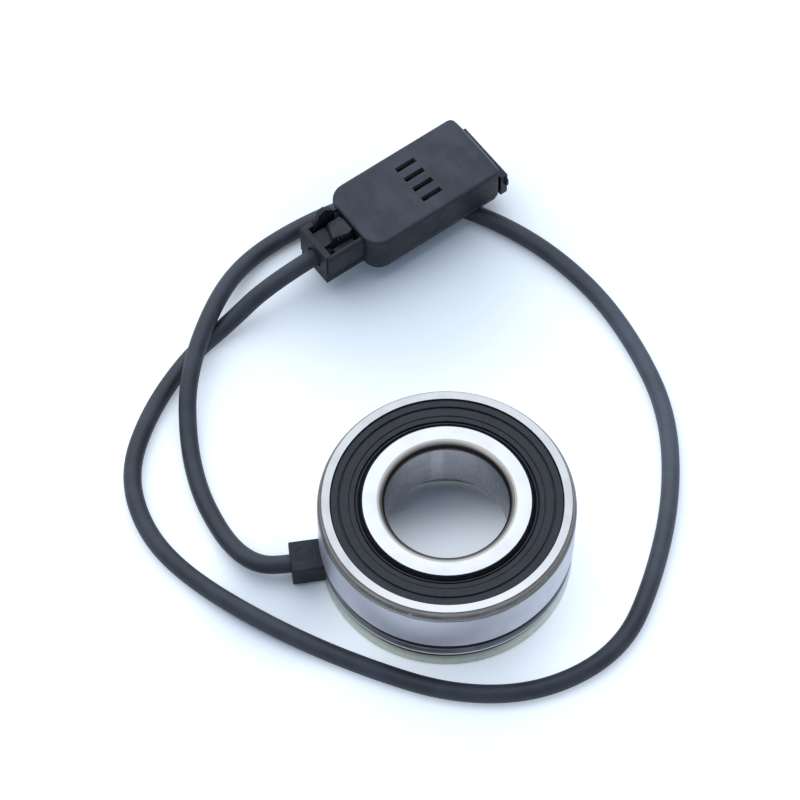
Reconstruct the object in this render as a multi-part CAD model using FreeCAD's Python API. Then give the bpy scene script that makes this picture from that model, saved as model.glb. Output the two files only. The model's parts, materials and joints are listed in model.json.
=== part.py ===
"""Sensor bearing: a sealed deep groove ball bearing with a speed sensor on one side, its cable and its plug.

Millimetres, +Z up. The origin is on the bearing's axis, in the flat underside of the sensor's steel cap.
The sensor lies below the rings, the seal faces up, and the cable leaves along -X.
"""
import FreeCAD, Part
import math
import os

V = FreeCAD.Vector
UP = V(0, 0, 1)

# Rings and balls
BORE_D = 25.0
OUTER_D = 52.0
RING_WIDTH = 15.0
BALL_D = 7.938
BALL_COUNT = 9
RACE_CONFORMITY = 0.52
RACE_GAP = 0.015
INNER_SHOULDER_RISE = 2.08
OUTER_SHOULDER_RISE = 1.23
OUTER_CORNER_RADIAL = 0.95
OUTER_CORNER_AXIAL = 2.45
BORE_CORNER = 1.4
INNER_CORNER = 0.45

# Recess and snap groove, the same at both ends of the outer ring
RIM_WALL = 2.6
RECESS_DEPTH = 2.2
GROOVE_RISE = 0.2
GROOVE_WIDTH = 0.7
GROOVE_DEPTH = 0.5

# Ball cage of two riveted pressed halves
CAGE_SHEET = 0.7
CAGE_POCKET_GAP = 0.1
CAGE_RING_GAP = 0.45
RIVET_D = 1.3
RIVET_HEAD_D = 2.1
RIVET_HEAD_HEIGHT = 0.4

# Contact seal
SEAL_SUNK = 0.4
STIFFENER_SHEET = 0.4
STIFFENER_EDGE_IN = 0.7
STIFFENER_LIP_IN = 1.05
SEAL_FIT = 0.05
SEAL_RIM_GAP = 0.4
SEAL_BEAD_WIDTH = 1.05
SEAL_GROOVE_WIDTH = 0.4
SEAL_GROOVE_DEPTH = 0.45
SEAL_BAND_SUNK = 0.1
SEAL_STEP_IN = 2.55
SEAL_INNER_BAND_IN = 1.15
SEAL_LIP_WIDTH = 0.4
SEAL_LIP_IN = 0.4
SEAL_LIP_SUNK = 0.35
SEAL_LIP_TIP = 0.2

# Impulse ring on the inner ring
CARRIER_WALL = 0.6
CARRIER_SEAT = 2.2
CARRIER_FLANGE = 0.4
CARRIER_CLEARANCE = 0.4
MAGNET_WALL = 1.35
MAGNET_HEIGHT = 5.2
PRESS_GAP = 0.01
AIR_GAP = 0.5

# Sensor: moulded body, steel cap and steel retaining ring
SENSOR_HEIGHT = 7.0
CAP_SHEET = 0.6
CAP_HOLE_D = 33.2
CAP_INSET = 0.25
CAP_DISH = 0.35
CAP_WALL_HEIGHT = 4.6
CAP_RIM_HEIGHT = 0.5
RETAINER_SHEET = 0.6
RETAINER_INSET = 0.2
RETAINER_HEIGHT = 2.1
FACE_GAP = 0.02
SEAT_GAP = 0.05
BODY_INNER_WALL = 1.0
BODY_OUTER_WALL = 1.0
BODY_ROOF = 1.2
LEDGE_SHARE = 0.17
BOARD_SHEET = 0.6
POTTING_HEIGHT = 0.6
BOARD_LENGTH = 48.2
SPIGOT_WALL = 3.2

# Parts on the circuit board, each as width round the ring, share of the trough that it fills, and height
HALL_SIZE = (4.0, 0.51, 3.1)
HALL_GAP = 0.2
HALL_ANGLES = (-26.0, 21.0)
CHIP_SIZE = (3.9, 0.64, 1.2)
CHIP_ANGLE = 42.0
SMALL_SIZE = (1.0, 0.17, 0.5)
SMALL_ANGLES = (-54.0, -48.0, -42.0, -37.0, 31.0, 53.0)

# Cable exit block
BLOCK_REACH = 32.0
BLOCK_WIDTH = 6.8
BLOCK_BOTTOM = 0.9
BLOCK_TOP = 6.9
BLOCK_EDGE = 0.3
BLOCK_TAIL_WIDTH = 4.8
BLOCK_TAIL_BOTTOM = 2.0
BLOCK_TAIL_TOP = 5.0
EXIT_HEIGHT = 4.0
CORE_SLOT_HEIGHT = 1.2

# Cable with four cores
CABLE_D = 3.8
CORE_D = 0.84
CORE_PITCH = 0.95
ROOT_DEPTH = 3.5
TAIL_DEPTH = 10.5

# Plug, in its own frame: X from neck to mouth, Z up from its underside
PLUG_AT = (-17.49, 69.53, 4.1)
PLUG_TURN = 27.8
PLUG_HEIGHT = 10.0
PLUG_WIDTH = 17.8
SHELL_LENGTH = 33.9
SHELL_WALL = 1.3
SHELL_NECK_CORNER = 4.2
SHELL_MOUTH_CORNER = 1.2
SHELL_TOP_EDGE = 0.7
PLUG_FLOOR = 1.4
BASE_LIP = 1.2
BASE_LIP_WALL = 0.9
NECK_LENGTH = 9.3
NECK_WIDTH = 10.6
NECK_WALL = 1.3
NECK_CORNER = 1.4
NECK_DROP = 0.5
END_PLATE = 1.6
EAR_LENGTH = 2.8
EAR_RISE = 0.6
CABLE_AXIS_HEIGHT = 4.9
SLOT_COUNT = 4
SLOT_LENGTH = 5.0
SLOT_WIDTH = 1.2
SLOT_PITCH = 3.1
SLOT_FROM_NECK = 18.3
CLAMP_FROM_PLATE = 1.5
CLAMP_LENGTH = 4.6
CLAMP_WIDTH = 6.4
CLAMP_TOP = 9.7
CARRIER_LENGTH = 16.0
CARRIER_SIDE_GAP = 0.1
CELL_WIDTH = 2.2
CELL_HEIGHT = 3.4
TERMINAL_WALL = 0.3
TERMINAL_GAP = 0.1
TERMINAL_LENGTH = 9.0
TERMINAL_SET_BACK = 2.0
TERMINAL_TAIL = 4.0
LOCK_SHEET = 1.0
LOCK_INSET = 0.7
LOCK_WINDOW_WIDTH = 1.5
LOCK_WINDOW_HEIGHT = 2.4
LOCK_HOOK = (1.9, 0.8, 3.2)
LOCK_HOOK_HEIGHT = 5.2

# Route of the free cable: first the exit in the block, last the plug's end plate
FLOOR_Z = CABLE_D / 2
HUMP_Z = 10.5
ROUTE = [
    (-32.0, 0.0, 4.0), (-36.0, 0.0, 4.0), (-39.6, 1.9, 3.4), (-42.6, 5.4, 2.6),
    (-45.4, 11.0, FLOOR_Z), (-48.4, 20.6, FLOOR_Z), (-49.3, 33.0, FLOOR_Z), (-47.6, 46.0, HUMP_Z),
    (-40.4, 62.4, HUMP_Z), (-32.2, 75.2, FLOOR_Z), (-18.3, 82.8, FLOOR_Z), (-2.5, 87.6, FLOOR_Z),
    (13.2, 84.3, FLOOR_Z), (29.3, 72.5, FLOOR_Z), (40.8, 57.4, FLOOR_Z), (47.4, 41.2, FLOOR_Z),
    (50.8, 24.0, FLOOR_Z), (48.0, 5.0, FLOOR_Z), (40.8, -13.2, FLOOR_Z), (31.5, -28.2, FLOOR_Z),
    (14.8, -35.2, FLOOR_Z), (-3.5, -33.3, FLOOR_Z), (-22.0, -23.5, FLOOR_Z), (-38.0, -12.4, FLOOR_Z),
    (-52.7, 0.7, FLOOR_Z), (-60.5, 12.7, FLOOR_Z), (-62.5, 27.0, FLOOR_Z), (-56.4, 41.0, FLOOR_Z),
    (-46.7, 53.2, FLOOR_Z), (-37.5, 59.8, 2.3), (-28.1, 63.936, 9.0), (-17.49, 69.53, 9.0),
]
ARC_SHARE = 0.45

# Radii and heights worked out from the sizes above
bore_r = BORE_D / 2
outer_r = OUTER_D / 2
ball_r = BALL_D / 2
pitch_r = (bore_r + outer_r) / 2
race_r = RACE_CONFORMITY * BALL_D
inner_race_r = pitch_r - ball_r - RACE_GAP
outer_race_r = pitch_r + ball_r + RACE_GAP
inner_shoulder_r = inner_race_r + INNER_SHOULDER_RISE
outer_shoulder_r = outer_race_r - OUTER_SHOULDER_RISE
recess_r = outer_r - RIM_WALL
groove_r = recess_r + GROOVE_DEPTH
ring_low = SENSOR_HEIGHT
ring_top = SENSOR_HEIGHT + RING_WIDTH
ball_z = SENSOR_HEIGHT + RING_WIDTH / 2


def turned(outline):
    """Solid turned about the bearing's axis from a closed outline of (radius, height) points.

    An item of two points is an arc: through its first point, to its second.
    """
    at = V(outline[0][0], 0, outline[0][1])
    first = at
    edges = []
    for item in outline[1:] + [outline[0]]:
        if isinstance(item[0], tuple):
            through = V(item[0][0], 0, item[0][1])
            to = V(item[1][0], 0, item[1][1])
            edges.append(Part.Arc(at, through, to).toShape())
        else:
            to = V(item[0], 0, item[1])
            if (to - at).Length > 1e-7:
                edges.append(Part.LineSegment(at, to).toShape())
        at = to
    if (at - first).Length > 1e-7:
        raise ValueError("outline is open")
    return Part.Face(Part.Wire(edges)).revolve(V(0, 0, 0), UP, 360)


def tube_ring(inner, outer, low, high):
    """Plain ring between two radii and two heights."""
    return turned([(inner, low), (outer, low), (outer, high), (inner, high)])


def box(x0, x1, y0, y1, z0, z1):
    """Box between two corners."""
    return Part.makeBox(x1 - x0, y1 - y0, z1 - z0, V(x0, y0, z0))


def rod(radius, start, end):
    """Round rod from one point to another."""
    along = end - start
    return Part.makeCylinder(radius, along.Length, start, along)


def sector(solid, half_angle):
    """The part of a ring within an angle either side of -X."""
    reach = 2 * outer_r
    fan = [V(0, 0, 0)]
    for share in (-1, -0.5, 0, 0.5, 1):
        angle = math.radians(180 + share * half_angle)
        fan.append(V(reach * math.cos(angle), reach * math.sin(angle), 0))
    return solid.common(Part.Face(Part.makePolygon(fan + fan[:1])).extrude(V(0, 0, ring_top)))


def round_path(points):
    """Wire of straight runs joined by tangent arcs, and the arcs' radii."""
    points = [V(*p) for p in points]
    edges = []
    radii = []
    at = points[0]
    for before, corner, after in zip(points, points[1:], points[2:]):
        back = (before - corner)
        ahead = (after - corner)
        reach = ARC_SHARE * min(back.Length, ahead.Length)
        back.normalize()
        ahead.normalize()
        turn = math.pi - back.getAngle(ahead)
        radius = reach / math.tan(turn / 2)
        bisector = (back + ahead).normalize()
        middle = corner + bisector * (radius / math.cos(turn / 2) - radius)
        edges.append(Part.LineSegment(at, corner + back * reach).toShape())
        edges.append(Part.Arc(corner + back * reach, middle, corner + ahead * reach).toShape())
        radii.append(radius)
        at = corner + ahead * reach
    edges.append(Part.LineSegment(at, points[-1]).toShape())
    return Part.Wire(edges), radii


def tube(points, diameter):
    """Round tube along a path of straight runs and tangent arcs."""
    wire, radii = round_path(points)
    start = V(*points[0])
    section = Part.Wire(Part.makeCircle(diameter / 2, start, V(*points[1]) - start))
    solid = wire.makePipeShell([section], True, False)
    expected = math.pi * diameter ** 2 / 4 * wire.Length
    print("tube d=%.2f length %.2f volume %.2f expected %.2f valid %s smallest radius %.2f" % (
        diameter, wire.Length, solid.Volume, expected, solid.isValid(), min(radii)))
    return solid, radii


def shaped(solid, radius, wanted):
    """Rounds the edges whose middle meets the test."""
    edges = [e for e in solid.Edges if wanted(e.CenterOfMass, e)]
    return solid.makeFillet(radius, edges) if edges else solid


def upright(edge):
    """True for an edge that runs along Z."""
    ends = [v.Point for v in edge.Vertexes]
    return len(ends) == 2 and abs(ends[0].x - ends[1].x) < 1e-6 and abs(ends[0].y - ends[1].y) < 1e-6


# Outer ring: ground track and faces, unground rounded corners, one recess and snap groove at each end
def recess(end, inward):
    """Outline of one recess, from the ring's end face to the shoulder; inward is the way into the ring."""
    floor = end + inward * RECESS_DEPTH
    groove_low = floor - inward * GROOVE_RISE
    groove_high = groove_low - inward * GROOVE_WIDTH
    return [(recess_r, end), (recess_r, groove_high), (groove_r, groove_high), (groove_r, groove_low),
            (recess_r, groove_low), (recess_r, floor), (outer_shoulder_r, floor)]


def race_half_width(race_centre_r, shoulder_r):
    """Half the width of a track where it meets its shoulder."""
    return math.sqrt(race_r ** 2 - (shoulder_r - race_centre_r) ** 2)


def corner_arc(wall_end, face_end, to):
    """Arc item of a ring's corner, smooth with the ring's wall, that ends at one of its two ends."""
    radial = face_end[0] - wall_end[0]
    axial = face_end[1] - wall_end[1]
    chord = math.hypot(radial, axial)
    share = chord / (2 * (chord + abs(axial)))
    through = (wall_end[0] + share * radial, wall_end[1] + share * (axial + math.copysign(chord, axial)))
    return (through, to)


face_r = outer_r - OUTER_CORNER_RADIAL
race_half = race_half_width(outer_race_r - race_r, outer_shoulder_r)
upper = recess(ring_top, -1)
lower = recess(ring_low, 1)
low_turn = (outer_r, ring_low + OUTER_CORNER_AXIAL)
top_turn = (outer_r, ring_top - OUTER_CORNER_AXIAL)
low_edge = (face_r, ring_low)
top_edge = (face_r, ring_top)
outer_ring = turned(
    [low_edge, corner_arc(low_turn, low_edge, low_turn), top_turn, corner_arc(top_turn, top_edge, top_edge)]
    + upper
    + [(outer_shoulder_r, ball_z + race_half),
       ((outer_race_r, ball_z), (outer_shoulder_r, ball_z - race_half))]
    + lower[::-1])

# Inner ring: ground bore and track, rounded corners
bore_face_r = bore_r + BORE_CORNER
inner_face_r = inner_shoulder_r - INNER_CORNER
race_half = race_half_width(inner_race_r + race_r, inner_shoulder_r)
bore_low = (bore_r, ring_low + BORE_CORNER)
bore_top = (bore_r, ring_top - BORE_CORNER)
shoulder_low = (inner_shoulder_r, ring_low + INNER_CORNER)
shoulder_top = (inner_shoulder_r, ring_top - INNER_CORNER)
face_low = (inner_face_r, ring_low)
face_top = (inner_face_r, ring_top)
inner_ring = turned([
    bore_low,
    corner_arc(bore_low, (bore_face_r, ring_low), (bore_face_r, ring_low)),
    face_low,
    corner_arc(shoulder_low, face_low, shoulder_low),
    (inner_shoulder_r, ball_z - race_half),
    ((inner_race_r, ball_z), (inner_shoulder_r, ball_z + race_half)),
    shoulder_top,
    corner_arc(shoulder_top, face_top, face_top),
    (bore_face_r, ring_top),
    corner_arc(bore_top, (bore_face_r, ring_top), bore_top)])

# Balls, the first on the +X side
ball_spots = []
for index in range(BALL_COUNT):
    angle = 2 * math.pi * index / BALL_COUNT
    ball_spots.append(V(pitch_r * math.cos(angle), pitch_r * math.sin(angle), ball_z))
balls = [Part.makeSphere(ball_r, spot) for spot in ball_spots]

# Cage: each half is a flat band with a dome over every ball, and a rivet joins them between the balls
pocket_r = ball_r + CAGE_POCKET_GAP
dome_r = pocket_r + CAGE_SHEET
cage_in = inner_shoulder_r + CAGE_RING_GAP
cage_out = outer_shoulder_r - CAGE_RING_GAP
rivet_spots = []
for index in range(BALL_COUNT):
    angle = 2 * math.pi * (index + 0.5) / BALL_COUNT
    rivet_spots.append(V(pitch_r * math.cos(angle), pitch_r * math.sin(angle), ball_z))
band = tube_ring(cage_in, cage_out, ball_z, ball_z + CAGE_SHEET)
sleeve = tube_ring(cage_in, cage_out, ball_z, ball_z + dome_r + 1)
domes = Part.makeCompound([Part.makeSphere(dome_r, spot) for spot in ball_spots]).common(sleeve)
pockets = Part.makeCompound([Part.makeSphere(pocket_r, spot) for spot in ball_spots])
rivet_holes = Part.makeCompound([
    rod(RIVET_D / 2 + FACE_GAP, spot - UP * dome_r, spot + UP * dome_r) for spot in rivet_spots])
cage_upper = band.fuse(domes.Solids).cut(pockets).cut(rivet_holes)
cage_lower = cage_upper.mirror(V(0, 0, ball_z), UP)
rivets = []
for spot in rivet_spots:
    grip = UP * CAGE_SHEET
    head = UP * (CAGE_SHEET + RIVET_HEAD_HEIGHT)
    rivet = rod(RIVET_D / 2, spot - grip, spot + grip)
    rivet = rivet.fuse([rod(RIVET_HEAD_D / 2, spot + grip, spot + head),
                        rod(RIVET_HEAD_D / 2, spot - head, spot - grip)])
    rivets.append(rivet.removeSplitter())
cage_rivets = Part.makeCompound(rivets)

# Seal: steel stiffener on the recess's step, rubber moulded round its edges and over its outside
step_z = ring_top - RECESS_DEPTH
seal_top = ring_top - SEAL_SUNK
seal_band_z = seal_top - SEAL_BAND_SUNK
plate_top = step_z + STIFFENER_SHEET
stiffener_in = inner_shoulder_r + STIFFENER_LIP_IN
stiffener_out = recess_r - STIFFENER_EDGE_IN
seal_stiffener = tube_ring(stiffener_in, stiffener_out, step_z, plate_top)
bead_out = recess_r - SEAL_RIM_GAP
bead_in = bead_out - SEAL_BEAD_WIDTH
band_out = bead_in - SEAL_GROOVE_WIDTH
groove_low = step_z + GROOVE_RISE + SEAL_FIT
groove_high = step_z + GROOVE_RISE + GROOVE_WIDTH - SEAL_FIT
lip_r = inner_shoulder_r + SEAL_FIT
lip_in = inner_shoulder_r + SEAL_LIP_IN
lip_out = lip_in + SEAL_LIP_WIDTH
inner_band_in = inner_shoulder_r + SEAL_INNER_BAND_IN
step_in = inner_shoulder_r + SEAL_STEP_IN
lip_top = seal_top - SEAL_LIP_SUNK
tip_z = step_z + SEAL_GROOVE_DEPTH
trough_z = plate_top + (lip_top - plate_top) / 2
seal_rubber = turned([
    (stiffener_in, step_z), (lip_in + SEAL_FIT, step_z + SEAL_FIT), (lip_r, tip_z),
    (lip_r, tip_z + SEAL_LIP_TIP), (lip_in, trough_z), (lip_in, lip_top), (lip_out, lip_top),
    (lip_out + SEAL_FIT, trough_z), (inner_band_in - SEAL_FIT, trough_z),
    (inner_band_in, seal_band_z - SEAL_BAND_SUNK), (step_in, seal_band_z - SEAL_BAND_SUNK),
    (step_in, seal_band_z), (band_out, seal_band_z), (band_out + SEAL_FIT, seal_top - SEAL_GROOVE_DEPTH),
    (bead_in - SEAL_FIT, seal_top - SEAL_GROOVE_DEPTH), (bead_in, seal_top - SEAL_FIT),
    (bead_in + SEAL_FIT, seal_top), (bead_out - SEAL_FIT, seal_top), (bead_out, seal_top - SEAL_FIT),
    (bead_out, groove_high + SEAL_FIT), (recess_r, groove_high), (groove_r - SEAL_FIT, groove_high),
    (groove_r - SEAL_FIT, groove_low), (recess_r - SEAL_FIT, groove_low), (recess_r - SEAL_FIT, step_z),
    (stiffener_out, step_z), (stiffener_out, plate_top), (stiffener_in, plate_top)])

# Impulse ring: a steel carrier pressed on the inner ring's shoulder, with a magnetised ring bonded round it
carrier_in = inner_shoulder_r + PRESS_GAP
carrier_out = carrier_in + CARRIER_WALL
magnet_out = carrier_out + MAGNET_WALL
carrier_low = CAP_SHEET + CARRIER_CLEARANCE
magnet_low = carrier_low + CARRIER_FLANGE
impulse_ring_carrier = turned([
    (carrier_in, carrier_low), (magnet_out, carrier_low), (magnet_out, magnet_low), (carrier_out, magnet_low),
    (carrier_out, ring_low + CARRIER_SEAT), (carrier_in, ring_low + CARRIER_SEAT)])
magnet_ring = tube_ring(carrier_out, magnet_out, magnet_low, magnet_low + MAGNET_HEIGHT)

# Sensor body: a moulded ring with a spigot that snaps into the outer ring, and a trough for the electronics
cap_r = outer_r - CAP_INSET
retainer_r = outer_r - RETAINER_INSET
retainer_low = ring_low - RETAINER_HEIGHT
cap_wall_in = cap_r - CAP_DISH - RETAINER_SHEET
body_in = magnet_out + AIR_GAP
body_out = cap_wall_in - SEAT_GAP
body_top = ring_low - RETAINER_SHEET
trough_in = body_in + BODY_INNER_WALL
trough_out = body_out - BODY_OUTER_WALL
trough_width = trough_out - trough_in
ledge_in = trough_out - LEDGE_SHARE * trough_width
board_low = CAP_SHEET + POTTING_HEIGHT
board_top = board_low + BOARD_SHEET
spigot_out = recess_r - FACE_GAP
spigot_in = recess_r - SPIGOT_WALL
spigot_top = ring_low + RECESS_DEPTH - SEAL_FIT
snap_low = ring_low + RECESS_DEPTH - GROOVE_RISE - GROOVE_WIDTH + SEAL_FIT
snap_high = ring_low + RECESS_DEPTH - GROOVE_RISE - SEAL_FIT
sensor_body = turned([
    (body_in, CAP_SHEET), (trough_in, CAP_SHEET), (trough_in, body_top - BODY_ROOF),
    (ledge_in, body_top - BODY_ROOF), (ledge_in, board_top),
    (trough_out, board_top), (trough_out, CAP_SHEET), (body_out, CAP_SHEET), (body_out, body_top),
    (spigot_out, body_top), (spigot_out, snap_low), (groove_r - SEAL_FIT, snap_low),
    (groove_r - SEAL_FIT, snap_high), (spigot_out, snap_high), (spigot_out, spigot_top),
    (spigot_in, spigot_top), (spigot_in, body_top), (body_in, body_top)])
tail_half = BLOCK_TAIL_WIDTH / 2
window = box(-outer_r, -trough_in, -tail_half - SEAT_GAP, tail_half + SEAT_GAP,
             BLOCK_TAIL_BOTTOM - SEAT_GAP, BLOCK_TAIL_TOP + SEAT_GAP)
sensor_body = sensor_body.cut(window)

# Steel cap over the underside and lower side of the sensor, slightly dished, with a notch for the block
block_half = BLOCK_WIDTH / 2
notch_half = block_half + SEAT_GAP
notch_low = BLOCK_BOTTOM - SEAT_GAP
cap_wall_top_r = cap_r - CAP_DISH
sensor_cap = turned([
    (CAP_HOLE_D / 2, 0), (cap_r - CAP_SHEET / 2, 0),
    ((cap_r - CAP_SHEET / 12, CAP_SHEET / 12), (cap_r, CAP_RIM_HEIGHT)),
    ((cap_wall_top_r + CAP_DISH / 5, (CAP_RIM_HEIGHT + CAP_WALL_HEIGHT) / 2),
     (cap_wall_top_r, CAP_WALL_HEIGHT)),
    (cap_wall_in, CAP_WALL_HEIGHT), (cap_wall_in, CAP_SHEET), (CAP_HOLE_D / 2, CAP_SHEET)])
sensor_cap = sensor_cap.cut(box(-2 * outer_r, -trough_out, -notch_half, notch_half, notch_low, ring_low))

# Retaining ring of dark steel between the cap and the outer ring
flange_in = recess_r + SEAT_GAP
retaining_ring = turned([
    (flange_in, body_top + FACE_GAP), (retainer_r - RETAINER_SHEET, body_top + FACE_GAP),
    (retainer_r - RETAINER_SHEET, retainer_low), (retainer_r, retainer_low),
    (retainer_r, ring_low - FACE_GAP), (flange_in, ring_low - FACE_GAP)])
retaining_ring = retaining_ring.cut(box(
    -2 * outer_r, -body_out, -notch_half, notch_half, notch_low, ring_low))

# Electronics: board under the ledge with potting below it, two Hall cells facing the magnet ring, small parts
board_half_angle = math.degrees(BOARD_LENGTH / (trough_in + trough_out))
board_ring = tube_ring(trough_in + SEAT_GAP, trough_out - SEAT_GAP, board_low, board_top)
circuit_board = sector(board_ring, board_half_angle)
potting_ring = tube_ring(trough_in + SEAT_GAP, trough_out - SEAT_GAP, CAP_SHEET, board_low)
potting_resin = sector(potting_ring, board_half_angle)


def on_board(size, angle, middle_r):
    """Box on the board, at an angle from -X."""
    half_width = size[0] / 2
    half_depth = size[1] * trough_width / 2
    part = box(middle_r - half_depth, middle_r + half_depth, -half_width, half_width,
               board_top, board_top + size[2])
    part.rotate(V(0, 0, 0), UP, 180 + angle)
    return part


hall_r = trough_in + HALL_GAP + HALL_SIZE[1] * trough_width / 2
board_r = (trough_in + ledge_in) / 2
hall_sensors = [on_board(HALL_SIZE, angle, hall_r) for angle in HALL_ANGLES]
signal_chip = on_board(CHIP_SIZE, CHIP_ANGLE, board_r)
board_components = Part.makeCompound([on_board(SMALL_SIZE, angle, board_r) for angle in SMALL_ANGLES])

# Cable exit block: moulded, with a tail through the body's wall, a pocket for the cable and a slot for cores
cable_r = CABLE_D / 2
block = box(-BLOCK_REACH, -body_out - SEAT_GAP, -block_half, block_half, BLOCK_BOTTOM, BLOCK_TOP)
block = shaped(block, BLOCK_EDGE, lambda c, e: c.x < -BLOCK_REACH + 0.01 or (upright(e) and c.x < -outer_r))
tail = box(-body_out - 2 * SEAT_GAP, SEAT_GAP - ledge_in, -tail_half, tail_half,
           BLOCK_TAIL_BOTTOM, BLOCK_TAIL_TOP)
exit_point = V(-BLOCK_REACH, 0, EXIT_HEIGHT)
pocket_end = exit_point + V(ROOT_DEPTH, 0, 0)
core_row = [(index - 1.5) * CORE_PITCH for index in range(4)]
slot_half = core_row[-1] + CORE_D / 2 + SEAT_GAP
core_slot = box(pocket_end.x - SEAT_GAP, 0, -slot_half, slot_half,
                EXIT_HEIGHT - CORE_SLOT_HEIGHT / 2, EXIT_HEIGHT + CORE_SLOT_HEIGHT / 2)
cable_exit_block = block.fuse(tail).cut(rod(cable_r + FACE_GAP, exit_point, pocket_end)).cut(core_slot)
cable_exit_block = cable_exit_block.removeSplitter()
cable_root = rod(cable_r, exit_point, pocket_end)
core_turn_x = -board_r
cores = []
for offset in core_row:
    core, _ = tube([(pocket_end.x, offset, EXIT_HEIGHT), (core_turn_x, offset, EXIT_HEIGHT),
                    (core_turn_x, offset, board_top)], CORE_D)
    cores.append(core)
cable_cores = Part.makeCompound(cores)

# Free cable from the block to the plug
sensor_cable, cable_radii = tube(ROUTE, CABLE_D)
print("cable arc radii", [round(r, 1) for r in cable_radii])

# Plug, built in its own frame and put in place at the end
shell_x0 = NECK_LENGTH
shell_x1 = NECK_LENGTH + SHELL_LENGTH
half = PLUG_WIDTH / 2
neck_half = NECK_WIDTH / 2


def shell_outline(inset, low, high):
    """The shell's plan, pulled in by an inset, as a solid between two heights."""
    plan = box(shell_x0 + inset, shell_x1 - inset, -half + inset, half - inset, low, high)
    plan = shaped(plan, SHELL_NECK_CORNER - inset, lambda c, e: upright(e) and c.x < shell_x0 + inset + 0.01)
    return shaped(plan, SHELL_MOUTH_CORNER - min(inset, 1.0),
                  lambda c, e: upright(e) and c.x > shell_x1 - inset - 0.01)


# Cover: the upper shell, with four slots in its top, open at the mouth and where the cores enter
cover = shell_outline(0, PLUG_FLOOR, PLUG_HEIGHT)
cover = shaped(cover, SHELL_TOP_EDGE, lambda c, e: c.z > PLUG_HEIGHT - 0.01)
cavity = shell_outline(SHELL_WALL, 0, PLUG_HEIGHT - SHELL_WALL)
mouth = box(shell_x1 - 2 * SHELL_WALL, shell_x1 + 1, -half + SHELL_WALL, half - SHELL_WALL,
            0, PLUG_HEIGHT - SHELL_WALL)
way_x = shell_x0 + 2 * SHELL_WALL
cable_way = rod(cable_r + SEAT_GAP, V(0, 0, CABLE_AXIS_HEIGHT), V(way_x, 0, CABLE_AXIS_HEIGHT))
cable_drop = box(0, way_x, -cable_r - SEAT_GAP, cable_r + SEAT_GAP, 0, CABLE_AXIS_HEIGHT)
plug_cover = cover.cut([cavity, mouth, cable_way, cable_drop])
slot_y = [(index - (SLOT_COUNT - 1) / 2) * SLOT_PITCH for index in range(SLOT_COUNT)]
for y in slot_y:
    slot_x = shell_x0 + SLOT_FROM_NECK
    plug_cover = plug_cover.cut(box(slot_x - SLOT_LENGTH / 2, slot_x + SLOT_LENGTH / 2,
                                    y - SLOT_WIDTH / 2, y + SLOT_WIDTH / 2, 0, PLUG_HEIGHT + 1))

# Base: the floor with a lip inside the cover, and the neck's channel with its end plate and far ear
neck_top = PLUG_HEIGHT - NECK_DROP
lip_inset = SHELL_WALL + SEAT_GAP
lip_clear = PLUG_FLOOR + 2 * BASE_LIP
lip_outer = shell_outline(lip_inset, 0, PLUG_FLOOR + BASE_LIP)
lip_inner = shell_outline(lip_inset + BASE_LIP_WALL, PLUG_FLOOR, lip_clear)
lip_open = box(shell_x1 - CARRIER_LENGTH - 1, shell_x1 + 1, -half, half, PLUG_FLOOR, lip_clear)
neck = box(0, shell_x0, -neck_half, neck_half, 0, neck_top)
neck = shaped(neck, NECK_CORNER, lambda c, e: upright(e) and c.x < 0.01 and c.y < 0)
neck = neck.fuse(box(0, EAR_LENGTH, neck_half - NECK_WALL, neck_half, 0, neck_top + EAR_RISE))
channel_half = neck_half - NECK_WALL
channel = box(END_PLATE, shell_x0 + 1, -channel_half, channel_half, PLUG_FLOOR, neck_top + 1)
plate_way = rod(cable_r + SEAT_GAP, V(-1, 0, CABLE_AXIS_HEIGHT), V(END_PLATE + 1, 0, CABLE_AXIS_HEIGHT))
neck = neck.cut([channel, plate_way])
floor_plate = shell_outline(0, 0, PLUG_FLOOR)
neck_joint = box(shell_x0 - 1, shell_x0 + SHELL_NECK_CORNER, -neck_half, neck_half, 0, PLUG_FLOOR)
plug_base = floor_plate.fuse([lip_outer.cut([lip_inner, lip_open, cable_drop]), neck, neck_joint])
plug_base = plug_base.removeSplitter()

# Cable clamp: a saddle in the neck's channel that presses the cable down
clamp_x0 = END_PLATE + CLAMP_FROM_PLATE
clamp = box(clamp_x0, clamp_x0 + CLAMP_LENGTH, -CLAMP_WIDTH / 2, CLAMP_WIDTH / 2, PLUG_FLOOR, CLAMP_TOP)
clamp = shaped(clamp, SHELL_TOP_EDGE, lambda c, e: c.z > CLAMP_TOP - 0.01 or upright(e))
cable_clamp = clamp.cut([
    rod(cable_r + FACE_GAP, V(0, 0, CABLE_AXIS_HEIGHT), V(shell_x0, 0, CABLE_AXIS_HEIGHT)),
    box(0, shell_x0, -cable_r - FACE_GAP, cable_r + FACE_GAP, 0, CABLE_AXIS_HEIGHT)])
cable_tail = rod(cable_r, V(0, 0, CABLE_AXIS_HEIGHT), V(TAIL_DEPTH, 0, CABLE_AXIS_HEIGHT))

# Contact carrier: a block in the shell's mouth with one cell for each terminal
carrier_x0 = shell_x1 - CARRIER_LENGTH
carrier_half = half - SHELL_WALL - CARRIER_SIDE_GAP
carrier_top = PLUG_HEIGHT - SHELL_WALL - CARRIER_SIDE_GAP
cell_z = (PLUG_FLOOR + carrier_top) / 2
contact_carrier = box(carrier_x0, shell_x1, -carrier_half, carrier_half, PLUG_FLOOR, carrier_top)
for y in slot_y:
    contact_carrier = contact_carrier.cut(box(
        carrier_x0 - 1, shell_x1 + 1, y - CELL_WIDTH / 2, y + CELL_WIDTH / 2,
        cell_z - CELL_HEIGHT / 2, cell_z + CELL_HEIGHT / 2))

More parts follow.
